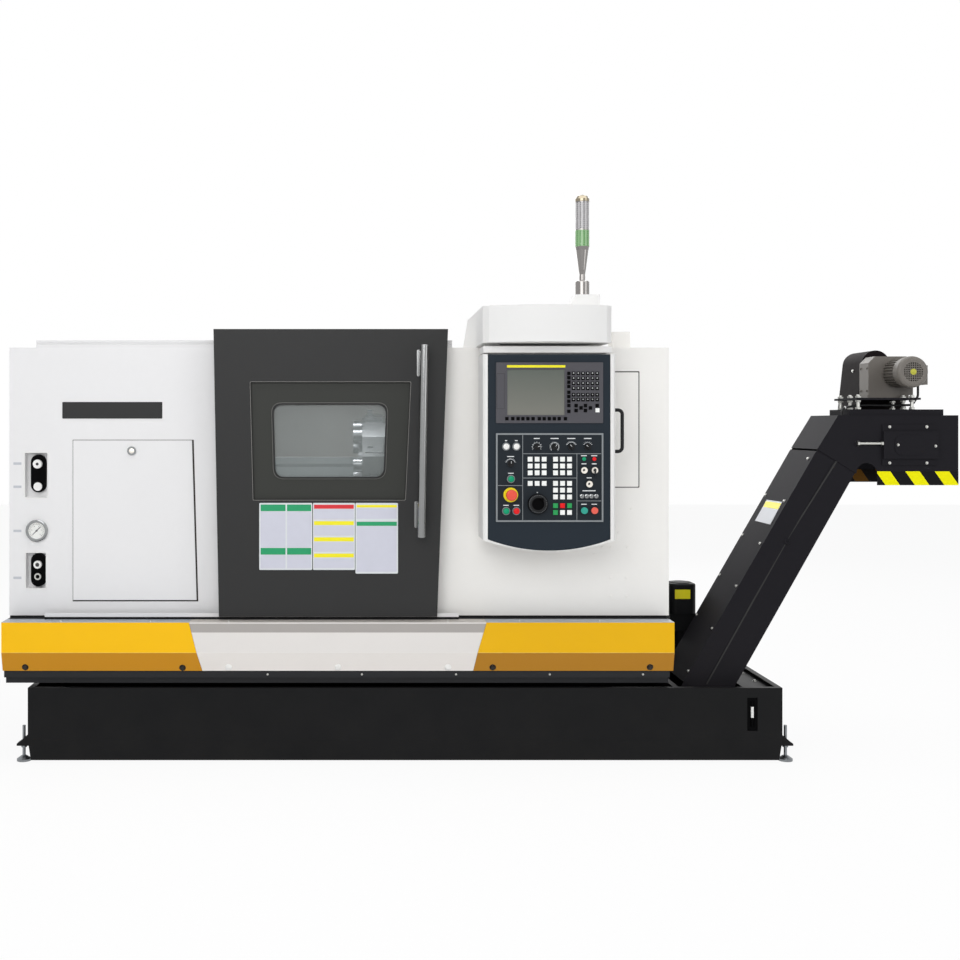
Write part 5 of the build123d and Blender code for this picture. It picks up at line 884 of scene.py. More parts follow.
# %% Needle of the gauge
needle_way = Vector((math.cos(math.radians(42)), math.sin(math.radians(42))))
needle_side = Vector((-needle_way.y, needle_way.x)) * 0.0009
tail_end = Vector((gauge_x, gauge_z)) - needle_way * 0.012
tip = Vector((gauge_x, gauge_z)) + needle_way * 0.0235
needle = [tail_end - needle_side, tip - needle_side * 0.3, tip + needle_side * 0.3, tail_end + needle_side]
needle = [[tuple(corner) for corner in needle]]
needle_back, needle_front = gauge_y - 0.0012, gauge_y - 0.0019
plates("gauge_needle", needle, needle_back, needle_front, needle_black, slot="black_plastic", edge=0.0)
hub = [(0, 0), (0.003, 0), (0.0028, 0.0014), (0, 0.0016)]
hub_place = [(gauge_x, gauge_y - 0.0010, gauge_z)]
turned("gauge_needle_hub", hub_place, hub, needle_black, sides=20)
dial_strokes("gauge_inner_strokes", dial_face, needle_black, 0.019, 0.003, 0.002, 6, -45, 270)
print("gauge done; pieces so far:", len(made))

# %% [markdown]
# The door's window sits in a stepped recess of a slightly warmer grey, and a black seal runs
# round the pane. All of them are frames between two outlines, with the corners rounded by
# the same helper, so that they stay parallel.

# %% Window of the door
door_skin = FRONT - 0.070
recess = FRONT - 0.058


def rounded(points, radius, steps=6):
    """The same outline with its corners rounded."""
    out = []
    for i, p in enumerate(points):
        before, after = Vector(points[i - 1]), Vector(points[(i + 1) % len(points)])
        p = Vector(p)
        a = p + (before - p).normalized() * radius
        b = p + (after - p).normalized() * radius
        for k in range(steps + 1):
            t = k / steps
            out.append(tuple(a * (1 - t) ** 2 + p * 2 * t * (1 - t) + b * t ** 2))
    return out


def offset(points, by, radius):
    """An outline moved outwards from its middle, with its corners rounded."""
    middle = sum((Vector(p) for p in points), Vector((0, 0))) / len(points)
    out = []
    for x, z in points:
        out.append((x + math.copysign(by, x - middle.x), z + math.copysign(by, z - middle.y)))
    return rounded(out, radius)


pane = [(-0.809, 1.093), (-0.393, 1.093), (-0.383, 1.371), (-0.817, 1.371)]
recess_panel = [(-0.8918, 1.0065), (-0.3115, 1.0065), (-0.2905, 1.4565), (-0.9035, 1.4565)]
seal_edge = offset(pane, 0.007, 0.040)
seal = (seal_edge, offset(pane, -0.003, 0.030))
face = (rounded(recess_panel, 0.004), seal_edge)
# The lips round the recess and the pane are pale rings of painted highlight.
lip = (offset(recess_panel, 0.0034, 0.006), offset(recess_panel, 0.0022, 0.006))
pane_edge = (offset(pane, 0.0082, 0.041), seal_edge)
for name, pair, base, back, front, finish, slot in (
    ("window_seal", seal, recess, 0.001, -0.004, rubber_and_shadow_black, "black_plastic"),
    ("recess_face", face, recess, 0.0002, -0.0006, recess_grey, "door_paint"),
    ("recess_lip", lip, door_skin, 0, -0.0006, highlight_lip_grey, "door_paint"),
    ("pane_lip", pane_edge, recess, 0, -0.0012, highlight_lip_grey, "door_paint"),
):
    rings(name, [pair], base + back, base + front, finish, "door", slot)
print("corners of the pane:", pane)

# %% [markdown]
# Under the window are three blank label sheets, kept as fields of colour. Each field is a
# thin plate on its sheet, so that its edge catches light as a sticker's does.

# %% Label sheets of the door
DOOR_FACE = -0.070


def door_fields(name, fields, finish, lift=0.0010, corner=0.0):
    """Fields of colour on the door, given by their corners in the picture."""
    outlines = [picture_box(*field, DOOR_FACE, corner) for field in fields]
    plates(name, outlines, door_skin, door_skin - lift, finish, "door", "white_panels", 0.0)


sheets = [(259, 503, 312, 570), (312.8, 503, 354.7, 570), (355.3, 503, 397.8, 573.7)]
door_fields("label_sheets", sheets, label_edge, 0.0006, 0.004)
pale = [(260.4, 511.7, 285.3, 547.4), (286.8, 511.7, 311, 547.4), (260.4, 555.2, 285.3, 568.5)]
pale += [(286.8, 555.2, 311, 568.5), (313.8, 509.3, 353.6, 519.6), (313.8, 525.6, 353.6, 535.7)]
pale += [(313.8, 541.9, 353.6, 551.8), (313.8, 558, 353.6, 568.2), (356.5, 508, 396.6, 518.8)]
pale += [(356.5, 526.4, 396.6, 571.8)]
door_fields("label_fields_pale", pale, label_pale)
green = [(260.4, 504.6, 285.3, 511.2), (286.8, 504.6, 311, 511.2), (260.4, 548, 285.3, 554.7)]
green += [(286.8, 548, 311, 554.7), (356.5, 521.8, 396.6, 525.9)]
door_fields("label_fields_green", green, label_green)
door_fields("label_fields_red", [(313.8, 504.8, 353.6, 508.8)], label_red)
yellow_fields = [(313.8, 521.2, 353.6, 525.1), (313.8, 537.4, 353.6, 541.4)]
yellow_fields += [(313.8, 553.6, 353.6, 557.5), (356.5, 505, 396.6, 507.5)]
door_fields("label_fields_yellow", yellow_fields, label_yellow)
handle_feet = ((-0.2486, 1.488), (-0.2486, 1.574), (-0.2580, 0.906), (-0.2580, 0.992))
handle_points = [((x, FRONT - 0.074, z), (0, -1, 0)) for x, z in handle_feet]
screws("handle_screws", handle_points, zinc, 0.004, 0.005, 0.0045, body="door")
print("door done; pieces so far:", len(made))

# %% [markdown]
# The right cabinet's front has an access panel, half hidden by the control panel, and a few
# blank cover plates. They are thin raised plates in the same paint, with a painted shadow as a
# dark line round the access panel.

# %% Right cabinet details
left, top = seen(596, 371.2)
right, bottom = seen(639.4, 487.7)
panel_edge = box_outline(left, right, bottom, top, 0.003)
inner_edge = box_outline(left + 0.004, right - 0.004, bottom + 0.0035, top - 0.0045, 0.003)
panel_gap = [(panel_edge, inner_edge)]
# A dark ring of painted shadow round the access panel.
rings("access_panel_shadow", panel_gap, FRONT, FRONT - 0.0004, shadow_gap_dark, slot="white_panels")
plates("access_panel", [inner_edge], FRONT, FRONT - 0.0016, white_right, slot="white_panels")
covers = [picture_box(598, 495.7, 633.5, 523.7, corner=0.012)]
covers.append(picture_box(607, 574.8, 630, 600, corner=0.014))
plates("cover_plates", covers, FRONT, FRONT - 0.0012, white_right, slot="white_panels")
latch = picture_box(590, 441.6, 626.4, 465.8, corner=0.010)
plates("latch_plate", [latch], FRONT - 0.0014, FRONT - 0.0026, white_right, slot="white_panels")
round_covers = [round_outline(*seen(px, py), 0.047) for px, py in ((618.6, 543.7), (593.8, 543))]
plates("round_covers", round_covers, FRONT, FRONT - 0.0012, white_right, slot="white_panels")
cover_screws = [(631, 509), (618.6, 532.5), (610.3, 547.5), (627, 547.5), (594, 554), (602, 547.5)]
cover_screws += [(610.7, 578), (626.5, 578), (610.7, 596.5), (626.5, 596.5)]
cover_points = []
for px, py in cover_screws:
    x, z = seen(px, py)
    cover_points.append(((x, FRONT - 0.0014, z), (0, -1, 0)))
screws("cover_screws", cover_points, white_right, 0.0045, 0.003, 0.005, slot="white_panels")
print("right cabinet done; pieces so far:", len(made))

# %% [markdown]
# Round-headed screws hold the three sills along their lower folds. The dark ones sit in
# the yellow sills and pale caps in the middle one, all square to the slanted fold.

# %% Sill and rail screws
SILL_FACE = -0.115
FOLD_TOP = 0.426
FOLD_LEAN = 0.25
fold_aim = tuple(Vector((0, -0.072, -0.018)).normalized())


def fold_points(pixels):
    """Places on the lower fold of the sills, whose front leans back towards its foot."""
    points = []
    for px, py in pixels:
        behind = SILL_FACE
        for _ in range(3):
            x, z = seen(px, py, behind)
            behind = SILL_FACE + max(0.0, FOLD_TOP - z) * FOLD_LEAN
        points.append(((x, FRONT + behind, z), fold_aim))
    return points


dark_points = fold_points([(24.8, 667.4), (182.2, 667.9), (492.6, 667.5), (650, 667.3)])
screws("sill_screws_dark", dark_points, dark_screw, 0.011, 0.007, 0.0125, Crown=0.7)
cap_places = [place for place, _ in fold_points([(228.2, 667.4), (337.8, 667.4), (447.8, 667.4)])]
cap_profile = [(0, -0.001), (0.0125, -0.001), (0.0125, 0.002), (0.010, 0.0045), (0.005, 0.0062), (0, 0.0066)]
turned("sill_caps", cap_places, cap_profile, white_plastic, aim=fold_aim)
rail_x = [seen(px, 682.3, -0.085)[0] for px in (267.4, 361.7, 455.9, 549.7, 643)]
rail_points = [((x, FRONT - 0.0852, 0.338), (0, -1, 0)) for x in rail_x]
screws("rail_screws", rail_points, zinc, 0.0035, 0.003, 0.004)
top_x = [seen(px, 621, -0.1)[0] for px in (60, 150, 228.2, 447.8, 520, 600)]
top_points = [((x, FRONT - 0.09, 0.5422), (0, 0, 1)) for x in top_x]
screws("sill_top_screws", top_points, zinc, 0.004, 0.003, 0.0048)
print("sill screws, left to right:", [round(place[0], 3) for place, _ in dark_points])

# %% [markdown]
# The control panel is the busiest part. Key caps, lenses and scales are added on top of the
# plate's plain studs. A third tree sets tapered caps in rows and columns, so each block of
# keys is one line here.

# %% Key caps from a node tree
key_sizes = {"Columns": 3, "Rows": 3, "Pitch X": 0.026, "Pitch Z": 0.0252}
key_sizes.update({"Cap": 0.018, "Height": 0.003, "Taper": 0.86})
key_tree, given = new_tree("Key caps in rows", key_sizes)
lines = []
for axis, (count, pitch) in enumerate((("Columns", "Pitch X"), ("Rows", "Pitch Z"))):
    steps = tree_math(key_tree, "SUBTRACT", given[count], 1)
    span = tree_math(key_tree, "MULTIPLY", steps, given[pitch])
    start = put(key_tree, "ShaderNodeCombineXYZ", {axis: tree_math(key_tree, "MULTIPLY", span, -0.5)})
    step = put(key_tree, "ShaderNodeCombineXYZ", {axis: given[pitch]})
    sockets = {"Count": given[count], "Start Location": start.outputs[0], "Offset": step.outputs[0]}
    lines.append(put(key_tree, "GeometryNodeMeshLine", sockets, mode="OFFSET"))
# A cone with four sides is a tapered square cap. Its radius runs to a corner.
corner = tree_math(key_tree, "MULTIPLY", given["Cap"], 0.7071)
cap_sockets = {"Vertices": 4, "Radius Bottom": corner, "Depth": given["Height"]}
cap_sockets["Radius Top"] = tree_math(key_tree, "MULTIPLY", corner, given["Taper"])
cap = put(key_tree, "GeometryNodeMeshCone", cap_sockets)
turned_square = {"Rotation": (0, 0, math.radians(45)), "Geometry": cap.outputs[0]}
stamped = put(key_tree, "GeometryNodeTransform", turned_square)
for line in lines:
    sockets = {"Points": line.outputs[0], "Instance": stamped.outputs[0]}
    stamped = put(key_tree, "GeometryNodeInstanceOnPoints", sockets)
close_tree(key_tree, given, stamped.outputs[0])

PANEL_X = 0.2175
PLATE = FRONT - 0.228


def panel(u, z, out=0.0):
    """Place on the operator plate, in millimetres from the panel's centre line."""
    return (PANEL_X + u / 1000, PLATE - out / 1000, z / 1000)


def keys(name, u, z, finish, columns=3, rows=3, pitch=(26.0, 25.2), cap_size=18.0, height=1.4, **where):
    """A block of tapered key caps, in millimetres, centred on the panel at u, z."""
    base = where.pop("base", PLATE - 0.003)
    slot = where.pop("slot", "black_plastic")
    sizes = {"Columns": columns, "Rows": rows, "Pitch_X": pitch[0] / 1000, "Pitch_Z": pitch[1] / 1000}
    sizes.update({"Cap": cap_size / 1000, "Height": height / 1000})
    piece = grow(name, key_tree, AT_ORIGIN, finish, "control_panel", slot, **sizes)
    piece.data.transform(Matrix.Translation((PANEL_X + u / 1000, base, z / 1000)) @ STAND_UP)


keys("keys_left_block", -45, 1141, key_white)
keys("keys_right_block", 49, 1141, key_white)
keys("keys_left_row", -45, 1076.4, key_white, rows=1)
keys("keys_right_rows", 49, 1051.4, key_white)
keys("key_green_1", 23, 993.9, key_green, 1, 1)
keys("key_red", 49, 993.9, red_plastic, 1, 1)
keys("key_green_2", 75, 993.9, key_green, 1, 1)
keys("key_green_3", 23, 968.7, key_green, 1, 1)
keys("keys_white_pair", 62, 968.7, key_white, 2, 1)
print("key blocks made; pieces so far:", len(made))

# %% [markdown]
# The display has a sunk screen under a yellow bar. The screen is a pane with a fade from
# warm to cool grey, set behind a rim that stands a little proud of the sheet.

# %% Screen of the display
SHEET = FRONT - 0.230


def sheet_box(left, right, foot, top, corner=0.0):
    """A rectangle on the display's sheet, measured from the panel's centre line."""
    return box_outline(PANEL_X + left, PANEL_X + right, foot, top, corner)


SCREEN = ("control_panel", "display_grey")
pane_outline = [sheet_box(-0.1555, 0.0568, 1.3297, 1.4975, 0.002)]
plates("screen_pane", pane_outline, SHEET + 0.0031, SHEET + 0.0018, screen_glass, *SCREEN)
bar_outline = [sheet_box(-0.1569, 0.0597, 1.506, 1.515)]
plates("yellow_bar", bar_outline, SHEET, SHEET - 0.0006, bar_yellow, *SCREEN)
rim_outer = sheet_box(-0.1605, 0.0615, 1.3245, 1.5025, 0.003)
rim_inner = sheet_box(-0.1558, 0.0571, 1.3294, 1.4978, 0.001)
rings("screen_rim", [(rim_outer, rim_inner)], SHEET + 0.0002, SHEET - 0.0008, display_grey, *SCREEN)
card_door = sheet_box(-0.1947, -0.1662, 1.3527, 1.484, 0.002)
card_inner = sheet_box(-0.1937, -0.1672, 1.3537, 1.483, 0.0015)
# The dark ring round the card door is painted shadow in its gap.
rings("card_door_gap", [(card_door, card_inner)], SHEET, SHEET - 0.0003, rubber_and_shadow_black, *SCREEN)
print("screen done; pieces so far:", len(made))

# %% [markdown]
# Soft keys run round two sides of the screen, and the keyboard has pale strokes instead of
# letters. Every key is a tapered cap from the same tree, on the studs of the CAD part.

# %% Keys of the display
dark_key = moulded("keyboard caps", "050506", 0.5, Specular_IOR_Level=0.04)
key_mark = moulded("keyboard marks", "B9BBBC", 0.5, 300)
key_base = SHEET - 0.002
on_sheet = {"base": key_base, "slot": "display_grey"}
on_caps = {"base": key_base - 0.0010, "slot": "display_grey"}
keys("keyboard_upper", 133.5, 1456.6, dark_key, 6, 4, (17.5, 18.5), 12.6, 1.2, **on_sheet)
keys("keyboard_lower", 133.5, 1396.1, dark_key, 6, 2, (17.5, 17.8), 12.6, 1.2, **on_sheet)
keys("keyboard_marks_upper", 133.5, 1457.6, key_mark, 6, 4, (17.5, 18.5), 5.0, 0.5, **on_caps)
keys("keyboard_marks_lower", 133.5, 1397.1, key_mark, 6, 2, (17.5, 17.8), 4.2, 0.5, **on_caps)
soft_u = [-157.3, -135.4, -115.7, -97.9, -79.4, -60.1, -37, -18.9, 0, 18.5, 36.7, 59.7]
side_z = [1484.4, 1468.4, 1451.8, 1436, 1414.5, 1398.5, 1381.1, 1365.1, 1343.5]
arrows = [(99.4, 1365), (99.4, 1346.8), (117.6, 1356.5), (133.9, 1365)]
arrows += [(133.9, 1346.8), (152.4, 1356.5), (177.3, 1365)]
for group, places, cap_size, height in (
    ("soft_key", [(u, 1316.4) for u in soft_u], 12.4, 1.0),
    ("side_key", [(72.3, z) for z in side_z], 12.4, 1.0),
    ("cursor_key", arrows, 12.6, 1.2),
):
    for i, (u, z) in enumerate(places, start=1):
        keys(f"{group}_{i}", u, z, dark_key, 1, 1, cap_size=cap_size, height=height, **on_sheet)
keys("reset_key", 178.4, 1347.6, key_white, 1, 1, cap_size=15.5, **on_sheet)
print("display keys made; pieces so far:", len(made))

# %% [markdown]
# Round controls of the operator plate are turned caps: lenses with a bright ring, key locks
# and toggle switches. A lens has a low crown, so that it catches the lamps as glass does.

# %% Lenses, locks and switches


def on_plate(name, places, out, profile, finish, sides=28, body="control_panel"):
    """Turned parts that stand some millimetres in front of the operator plate."""
    turned(name, [panel(u, z, out) for u, z in places], profile, finish, body, sides)


lens = [(0, -0.001), (0.0112, -0.001), (0.0112, 0.0012), (0.0095, 0.0022), (0, 0.0026)]
on_plate("lenses_white", [(-160, 1213), (-122, 1213)], 8, lens, white_plastic)
on_plate("lenses_green", [(-142, 1093), (-160, 974)], 8, lens, green_plastic)
on_plate("lens_red", [(-122, 974)], 8, lens, red_plastic)
ring_profile = [(0.0112, -0.001), (0.0150, -0.001), (0.0150, 0.001), (0.0138, 0.002)]
ring_profile += [(0.0116, 0.002), (0.0112, -0.001)]
button_rings = [(-160, 1213), (-122, 1213), (-142, 1093), (-160, 974), (-122, 974)]
on_plate("button_rings", button_rings, 3.2, ring_profile, frame_grey)
lock_places = [(129, 1125), (168, 1125), (148, 1074)]
lock_profile = [(0, -0.001), (0.0125, -0.001), (0.0125, 0.001), (0.0118, 0.0022)]
lock_profile += [(0.0062, 0.0022), (0.0052, 0.0010), (0, 0.0010)]
on_plate("lock_faces", lock_places, 7.8, lock_profile, bright_nickel)
core_places = [(u - 2, z + 1.5) for u, z in lock_places]
on_plate("lock_cores", core_places, 8.6, disc(0.0044, 0, 0.0009), needle_black, 20)
toggles = [(u, 1029) for u in (121, 139, 156, 174)]
nut_profile = [(0.0028, -0.001), (0.0078, -0.001), (0.0078, 0.0014), (0.0064, 0.0022)]
nut_profile += [(0.0030, 0.0022), (0.0028, -0.001)]
on_plate("toggle_nuts", toggles, 3.8, nut_profile, chrome, sides=24)
lever_profile = [(0, 0), (0.0028, 0), (0.0030, 0.008), (0.0036, 0.0125), (0.0028, 0.0146), (0, 0.0150)]
on_plate("toggle_levers", toggles, 6, lever_profile, chrome, sides=18)
pilot = [(0, -0.001), (0.0072, -0.001), (0.0072, 0.0006), (0.0058, 0.0016), (0, 0.0019)]
on_plate("pilot_green", [(129, 1167)], 4, pilot, green_plastic, 24)
on_plate("pilot_red", [(167, 1167)], 4, pilot, red_plastic, 24)
print("lenses and switches made; pieces so far:", len(made))

# %% [markdown]
# The emergency stop has a yellow collar, and the hand wheel a ring with strokes and a small
# crank. What turns with the wheel rides on its body, and the pointer stays on the plate.

# %% Stop collar and hand wheel
WHEEL_U, WHEEL_Z = -44, 1001
collar = [(0.0135, -0.004), (0.0270, -0.004), (0.0272, -0.0005), (0.0264, 0.0006)]
collar += [(0.0140, 0.0006), (0.0135, -0.004)]
on_plate("stop_collar", [(-143, 1034)], 5, collar, stop_yellow, 40)
rim = [(0.0222, -0.0010), (0.0352, -0.0010), (0.0352, 0.0007), (0.0340, 0.0012)]
rim += [(0.0230, 0.0012), (0.0222, -0.0010)]
on_plate("wheel_rim", [(WHEEL_U, WHEEL_Z)], 20, rim, soft_black, 56, "handwheel")
on_wheel = {"body": "handwheel", "slot": "black_plastic"}
wheel_face = panel(WHEEL_U, WHEEL_Z, 21.4)
dial_strokes("wheel_strokes", wheel_face, frame_grey, 0.0320, 0.0030, 0.0010, 31, 0, 348, **on_wheel)
crank = [(0, -0.001), (0.0050, -0.001), (0.0046, 0.010), (0.0056, 0.017), (0.0042, 0.0205), (0, 0.0212)]
crank_place = [(WHEEL_U + 14, WHEEL_Z + 18)]
on_plate("wheel_crank", crank_place, 17.5, crank, black_plastic, 22, "handwheel")
pointer = [[(PANEL_X - 0.0465, 1.0440), (PANEL_X - 0.0415, 1.0440), (PANEL_X - 0.044, 1.0400)]]
plates("wheel_pointer", pointer, PLATE, PLATE - 0.0008, line_white, "control_panel", "black_plastic", 0.0)
print("hand wheel done; pieces so far:", len(made))

# %% [markdown]
# Five selectors have a white scale: strokes over an arc, a fine line inside them, and an
# index line on the knob. The strokes and the line stay on the plate, and the index line
# rides on its knob, so that it turns.

# %% Scales of the selectors
# u, z and the index line's angle, then the scale's strokes, radius, start and sweep.
selectors = [
    (-46, 1212, 20, 9, 17.5, -30, 240),
    (20, 1212, 60, 21, 16.8, -45, 270),
    (82, 1212, 130, 11, 19.0, 25, 130),
    (143, 1212, 140, 7, 18.0, 30, 120),
    (-143, 1149, 90, 11, 19.0, 20, 140),
]
on_face = {"body": "control_panel", "slot": "panel_face"}
for i, (u, z, turn, count, radius, start, sweep) in enumerate(selectors, start=1):
    scale_sizes = (radius / 1000, 0.0042, 0.0010, count, start, sweep)
    dial_strokes(f"selector_scale_{i}", panel(u, z, 0.3), line_white, *scale_sizes, **on_face)
    x, _, height = panel(u, z)
    outer = round_outline(x, height, (radius - 1.6) / 1000, 24, start, sweep)
    inner = round_outline(x, height, (radius - 2.5) / 1000, 24, start, sweep)
    arc_line = [outer + inner[::-1]]
    plates(f"selector_arc_{i}", arc_line, PLATE, PLATE - 0.0006, line_white, **on_face, edge=0.0)
    turn = math.radians(turn)
    along = Vector((math.cos(turn), math.sin(turn)))
    side = Vector((along.y, -along.x)) * 0.7
    centre = Vector((u, z))
    corners = [along * 2 - side, along * 10.5 - side, along * 10.5 + side, along * 2 + side]
    index = [[panel(*(centre + corner))[::2] for corner in corners]]
    knob = {"body": f"selector_knob_{i}", "slot": "black_plastic"}
    plates(f"selector_line_{i}", index, PLATE - 0.0189, PLATE - 0.0195, line_white, **knob, edge=0.0)
print("scales made; pieces so far:", len(made))

# %% [markdown]
# Lettering on the plate becomes short pale bars. A metal frame and raised ribs part the
# plate into its fields.

# %% Legends, frame and ribs of the operator plate
legend = []
for u, z, width in (
    (-160, 1235, 8), (-122, 1235, 10), (-46, 1243, 22), (20, 1243, 30), (82, 1243, 30), (143, 1243, 28),
    (-143, 1176, 26), (-142, 1114, 20), (-160, 995, 20), (-122, 995, 20), (129, 1179, 22), (167, 1179, 22),
    (129, 1149, 18), (167, 1149, 18), (148, 1097, 18), (129, 999, 20), (167, 999, 20), (148, 1049, 48),
):
    u0, u1 = (u - width / 2) / 1000, (u + width / 2) / 1000
    legend.append(sheet_box(u0, u1, (z - 1.6) / 1000, (z + 1.6) / 1000))
plates("plate_legends", legend, PLATE, PLATE - 0.0003, line_white, **on_face, edge=0.0)
frame_outer = sheet_box(-0.1977, 0.2007, 0.9336, 1.2626, 0.002)
frame_inner = sheet_box(-0.1915, 0.1945, 0.9398, 1.2564, 0.002)
rings("plate_frame", [(frame_outer, frame_inner)], PLATE + 0.0005, PLATE - 0.0024, frame_grey, **on_face)
ribs = []
for u0, u1, z0, z1 in (
    (-99.7, -97.3, 941, 1255),
    (101.3, 103.7, 941, 1186),
    (-98, 193, 1185.3, 1187.7),
    (-190, -98, 1067.3, 1069.7),
    (-98, 102, 1095.3, 1097.7),
    (103, 193, 1010.3, 1012.7),
):
    ribs.append(sheet_box(u0 / 1000, u1 / 1000, z0 / 1000, z1 / 1000))
plates("plate_ribs", ribs, PLATE, PLATE - 0.0021, frame_grey, **on_face, edge=0.0002)
print("panel done; pieces so far:", len(made))

# %% [markdown]
# The conveyor's cover is screwed down along both edges, and a blank plate is fixed half way
# up. They lie on a slanted face that runs away from the camera, so each place in the
# picture is followed along its line of sight until it meets that face.

# %% Conveyor cover
slope = Vector((-0.8669, 0, 0.4985))
along = Vector((0.4985, 0, 0.8669))
ridge_foot = Vector((0.734, FRONT + 0.258, 0.206))


def on_cover(px, py):
    """The place on the slanted cover that a point of the picture shows."""
    x, z = seen(px, py)
    sight = Vector((x, FRONT, z)) - camera.location
    start = (ridge_foot + slope * 0.003 - camera.location).dot(slope)
    return camera.location + sight * (start / sight.dot(slope))


near_row = [(808.2, 458.6), (784.5, 501), (760.3, 543.4), (736.5, 586.2), (712.3, 628.4), (688.5, 671.1)]
near_bolts = [(tuple(on_cover(*place) + slope * 0.0002), tuple(slope)) for place in near_row]
print("near bolts behind the front, in mm:", [round((place[1] - FRONT) * 1000) for place, _ in near_bolts])
screws("cover_row_near", near_bolts, zinc, 0.0048, 0.0045, 0.0062)
ridge_row = [ridge_foot + along * (0.16 + 0.19 * i) + slope * 0.0032 for i in range(5)]
ridge_bolts = [(tuple(place), tuple(slope)) for place in ridge_row]
screws("cover_row_top", ridge_bolts, zinc, 0.0048, 0.0045, 0.0062)


def cover_plate(name, pixels, finish, lift):
    """A thin plate on the slanted cover, its corners given in the picture."""
    bm = bmesh.new()
    rear = [bm.verts.new(on_cover(px, py)) for px, py in pixels]
    prism(bm, rear, [bm.verts.new(v.co + slope * lift) for v in rear])
    keep(bm, name, finish, "machine")


# The label is a pale sheet, and its upper part a yellow band.
label = [(767.0, 499.8), (782.4, 502.1), (770.4, 524.6), (755.2, 520.8)]
cover_plate("conveyor_label", label, tag_grey, 0.0008)
band = [(766.3, 501.2), (781.6, 503.5), (778.2, 509.5), (763.4, 506.9)]
cover_plate("conveyor_label_band", band, label_yellow, 0.0011)
print("cover done; pieces so far:", len(made))

# %% [markdown]
# A groove runs up the conveyor's flank, its shadow painted as two dark strips, with a round boss
# where its two halves meet. The head carries the striped bands, in front and on the rear wall.

# %% Conveyor flank and head
on_conveyor = {"slot": "conveyor_paint", "edge": 0.0}
# The groove strips are painted shadow.
for name, groove in (
    ("flank_groove_upper", [(787.0, 539), (788.6, 539), (837.6, 461.6), (836.0, 461.0)]),
    ("flank_groove_lower", [(706.0, 684.5), (707.6, 684.5), (788.6, 539.8), (787.0, 539)]),
):
    outline = [seen(px, py) for px, py in groove]
    plates(name, [outline], FRONT + 0.003, FRONT + 0.0012, rubber_and_shadow_black, **on_conveyor)
boss_x, boss_z = seen(787, 541.7)
boss = [(0, 0), (0.0125, 0), (0.0125, 0.004), (0.0105, 0.006), (0.006, 0.006), (0.005, 0.004), (0, 0.004)]
turned("flank_boss", [(boss_x, FRONT + 0.003, boss_z)], boss, conveyor_black)
front_band = [box_outline(1.535, 1.852, 1.058, 1.112)]
plates("stripe_band_front", front_band, FRONT, FRONT - 0.0008, stripes, **on_conveyor)
# The rear band takes the stripes' painted shade.
rear_band = [box_outline(1.535, 1.760, 1.060, 1.110)]
plates("stripe_band_rear", rear_band, FRONT + 0.271, FRONT + 0.2702, stripes, **on_conveyor)
print("conveyor plates done; pieces so far:", len(made))

# %% [markdown]
# Hexagon heads, a tension screw and six studs hold the bearing and the motor's plate. A hexagon
# is a turned form with six sides, so one helper makes rods, heads and nuts.

# %% Bolts of the conveyor head
hexagon = {"Sides": 6}
plate_points = [((x, FRONT - 0.0042, z), (0, -1, 0)) for x in (1.582, 1.727) for z in (1.145, 1.286)]
screws("bearing_plate_screws", plate_points, zinc, 0.0045, 0.004, 0.0056, **hexagon)
slider_places = [(1.6106, FRONT - 0.0142, 1.2158), (1.7576, FRONT - 0.0122, 1.2111)]
slider_points = [(place, (0, -1, 0)) for place in slider_places]
screws("slider_screws", slider_points, zinc, 0.0045, 0.004, 0.0052, **hexagon)
right_way, up = (1, 0, 0), (0, 0, 1)
shank = [(1.4612, FRONT - 0.009, 1.221)]
turned("tension_screw_shank", shank, disc(0.0050, 0, 0.0846), zinc, sides=24, aim=right_way)
ends = [(x, FRONT - 0.009, 1.221) for x in (1.4536, 1.5456)]
turned("tension_screw_heads", ends, nut(0.0099, 0.0084), zinc, sides=6, aim=right_way)
stud_places = [(x, y) for x in (1.466, 1.676) for y in (-0.538, -0.464, -0.372)]
studs = [(x, y, 1.3543) for x, y in stud_places]
stud = [(0, 0), (0.0066, 0), (0.0066, 0.0560), (0.0052, 0.0575), (0, 0.0575)]
turned("motor_plate_studs", studs, stud, zinc, sides=20, aim=up)
nuts = [(x, y, z) for x, y in stud_places for z in (1.3542, 1.3828, 1.3988)]
turned("motor_plate_nuts", nuts, nut(0.0117, 0.0082), zinc, sides=6, aim=up)
tie = [(0.0047, 0), (0.0062, 0), (0.0062, 0.0042), (0.0047, 0.0042), (0.0047, 0)]
tie_place, tie_aim = [(1.4325, -0.500, 1.3622)], (-0.952, 0, -0.305)
turned("cable_tie", tie_place, tie, white_plastic, sides=24, aim=tie_aim)
print("bolts done; pieces so far:", len(made))

# %% [markdown]
# The gear motor ends in a fan cover, and its hub shows yellow through the grille. Screws
# close the gear case, and one holds the side of the chain guard.

# %% Motor details
hub = [(0, -0.004), (0.0118, -0.004), (0.0118, 0.0012), (0.009, 0.0026), (0, 0.0030)]
turned("fan_hub", [(1.658, FRONT - 0.040, 1.499)], hub, hub_yellow)
case_places = [(1.548, y, z) for y in (FRONT + 0.122, FRONT + 0.178) for z in (1.43, 1.52)]
case_points = [(place, (-1, 0, 0)) for place in case_places]
screws("case_screws", case_points, motor_grey, 0.0045, 0.004, 0.0056, slot="motor_paint", **hexagon)
guard_points = [((1.5600, FRONT + 0.284, 1.5166), (-0.994, 0, 0.108))]
screws("guard_screws", guard_points, zinc, 0.0055, 0.004, 0.007, slot="conveyor_paint")
print("motor done; pieces so far:", len(made))

# %% [markdown]
# The tank's level gauge is a white tube behind a dark slot. Screws sit on the deck round
# the conveyor. The pump has a yellow plate, left blank.

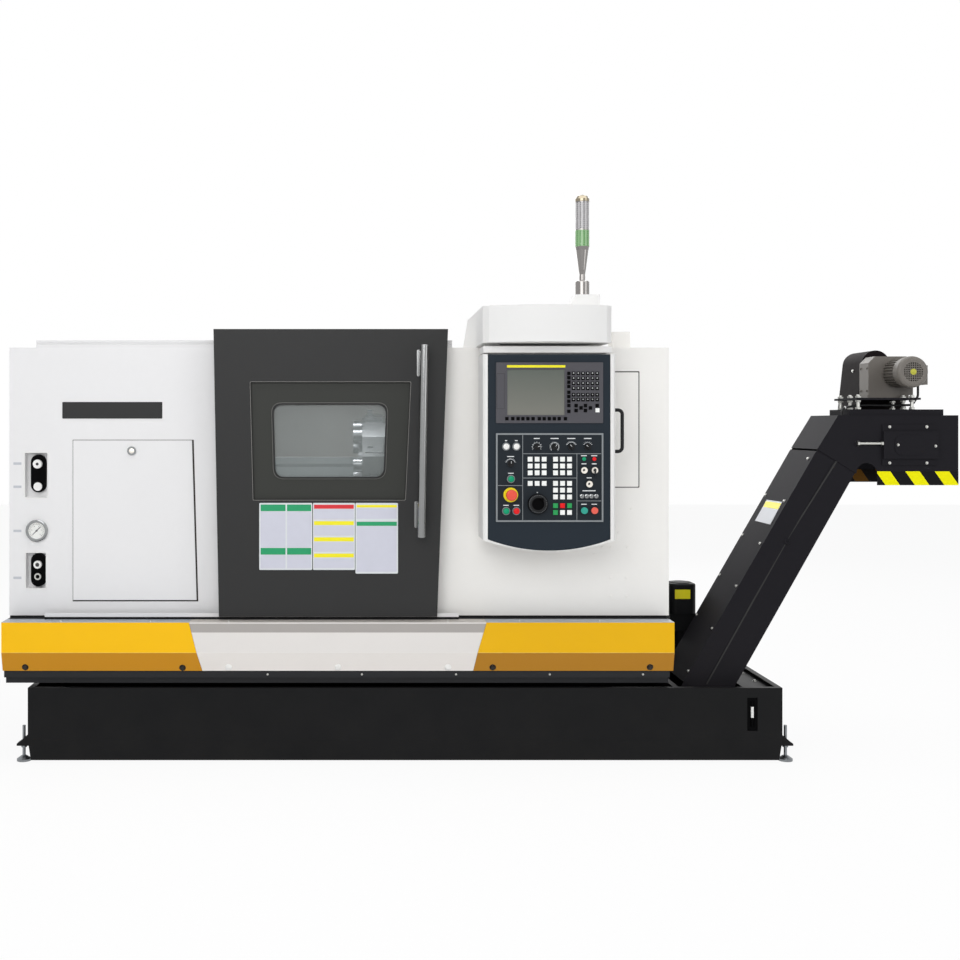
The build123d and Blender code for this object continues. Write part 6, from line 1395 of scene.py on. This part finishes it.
# %% Tank and pump details
tube = disc(0.0053, 0, 0.041)
tube_place = [(1.018, FRONT - 0.0890, 0.1735)]
turned("sight_tube", tube_place, tube, white_plastic, sides=24, aim=up)
deck = [(1.04, -0.6), (1.09, -0.6), (1.09, -0.45), (1.09, -0.3), (1.09, -0.15), (0.8, -0.12), (0.95, -0.12)]
screws("deck_screws", [((x, y, 0.2722), up) for x, y in deck], zinc, 0.006, 0.005, 0.0085, **hexagon)
PUMP_FACE = 0.328
pump_field = [picture_box(675, 589.7, 690.3, 599, PUMP_FACE, 0.002)]
plates("pump_name_field", pump_field, FRONT + 0.3285, FRONT + 0.3272, label_yellow, slot="pump_paint")
fan_cap = [(0, 0), (0.044, 0), (0.043, 0.003), (0.03, 0.005), (0, 0.0055)]
cap_place = [(0.871, -0.165, 0.6275)]
turned("pump_fan_cap", cap_place, fan_cap, pump_grey, sides=40, aim=up)
print("tank and pump done; pieces so far:", len(made))

# %% [markdown]
# Behind the machine the electrical cabinet has hinges and lock inserts. Its locks are CAD
# forms, and their inserts are added here.

# %% Back details
insert_profile = [(0, -0.0009), (0.008, -0.0009), (0.008, 0.00072), (0.0045, 0.00072)]
insert_profile += [(0.0045, -0.00054), (0, -0.00054)]
insert_places = [(-1.342, 0.8492, z) for z in (0.660, 1.075, 1.490)]
turned("door_lock_inserts", insert_places, insert_profile, zinc, "electrical_door", sides=24, aim=(0, 1, 0))
print("lock inserts:", len(insert_places))

# %% [markdown]
# The floor is white for the camera and for reflections, so that it meets the room without a
# line. A small share of plain paint stays in it and shows the machine's shadow.

# %% Floor
floor_finish = Finish("pale floor", "FAFAFA", 0.8)
floor_tree = floor_finish.tree
glow = put(floor_tree, "ShaderNodeEmission", {"Color": WHITE})
share = tree_math(floor_tree, "MULTIPLY", looked_at(floor_tree), 0.92)
blend = {0: share, 1: floor_finish.shader.outputs[0], 2: glow.outputs[0]}
blended = put(floor_tree, "ShaderNodeMixShader", blend).outputs[0]
floor_tree.links.new(blended, floor_tree.nodes["Material Output"].inputs["Surface"])
floor_mesh = bpy.data.meshes.new("floor")
floor_mesh.from_pydata([(-14, -14, 0), (14, -14, 0), (14, 14, 0), (-14, 14, 0)], [], [(0, 1, 2, 3)])
floor = bpy.data.objects.new("floor", floor_mesh)
scene.collection.objects.link(floor)
wear(floor, floor_finish)
print("pieces made:", len(made))
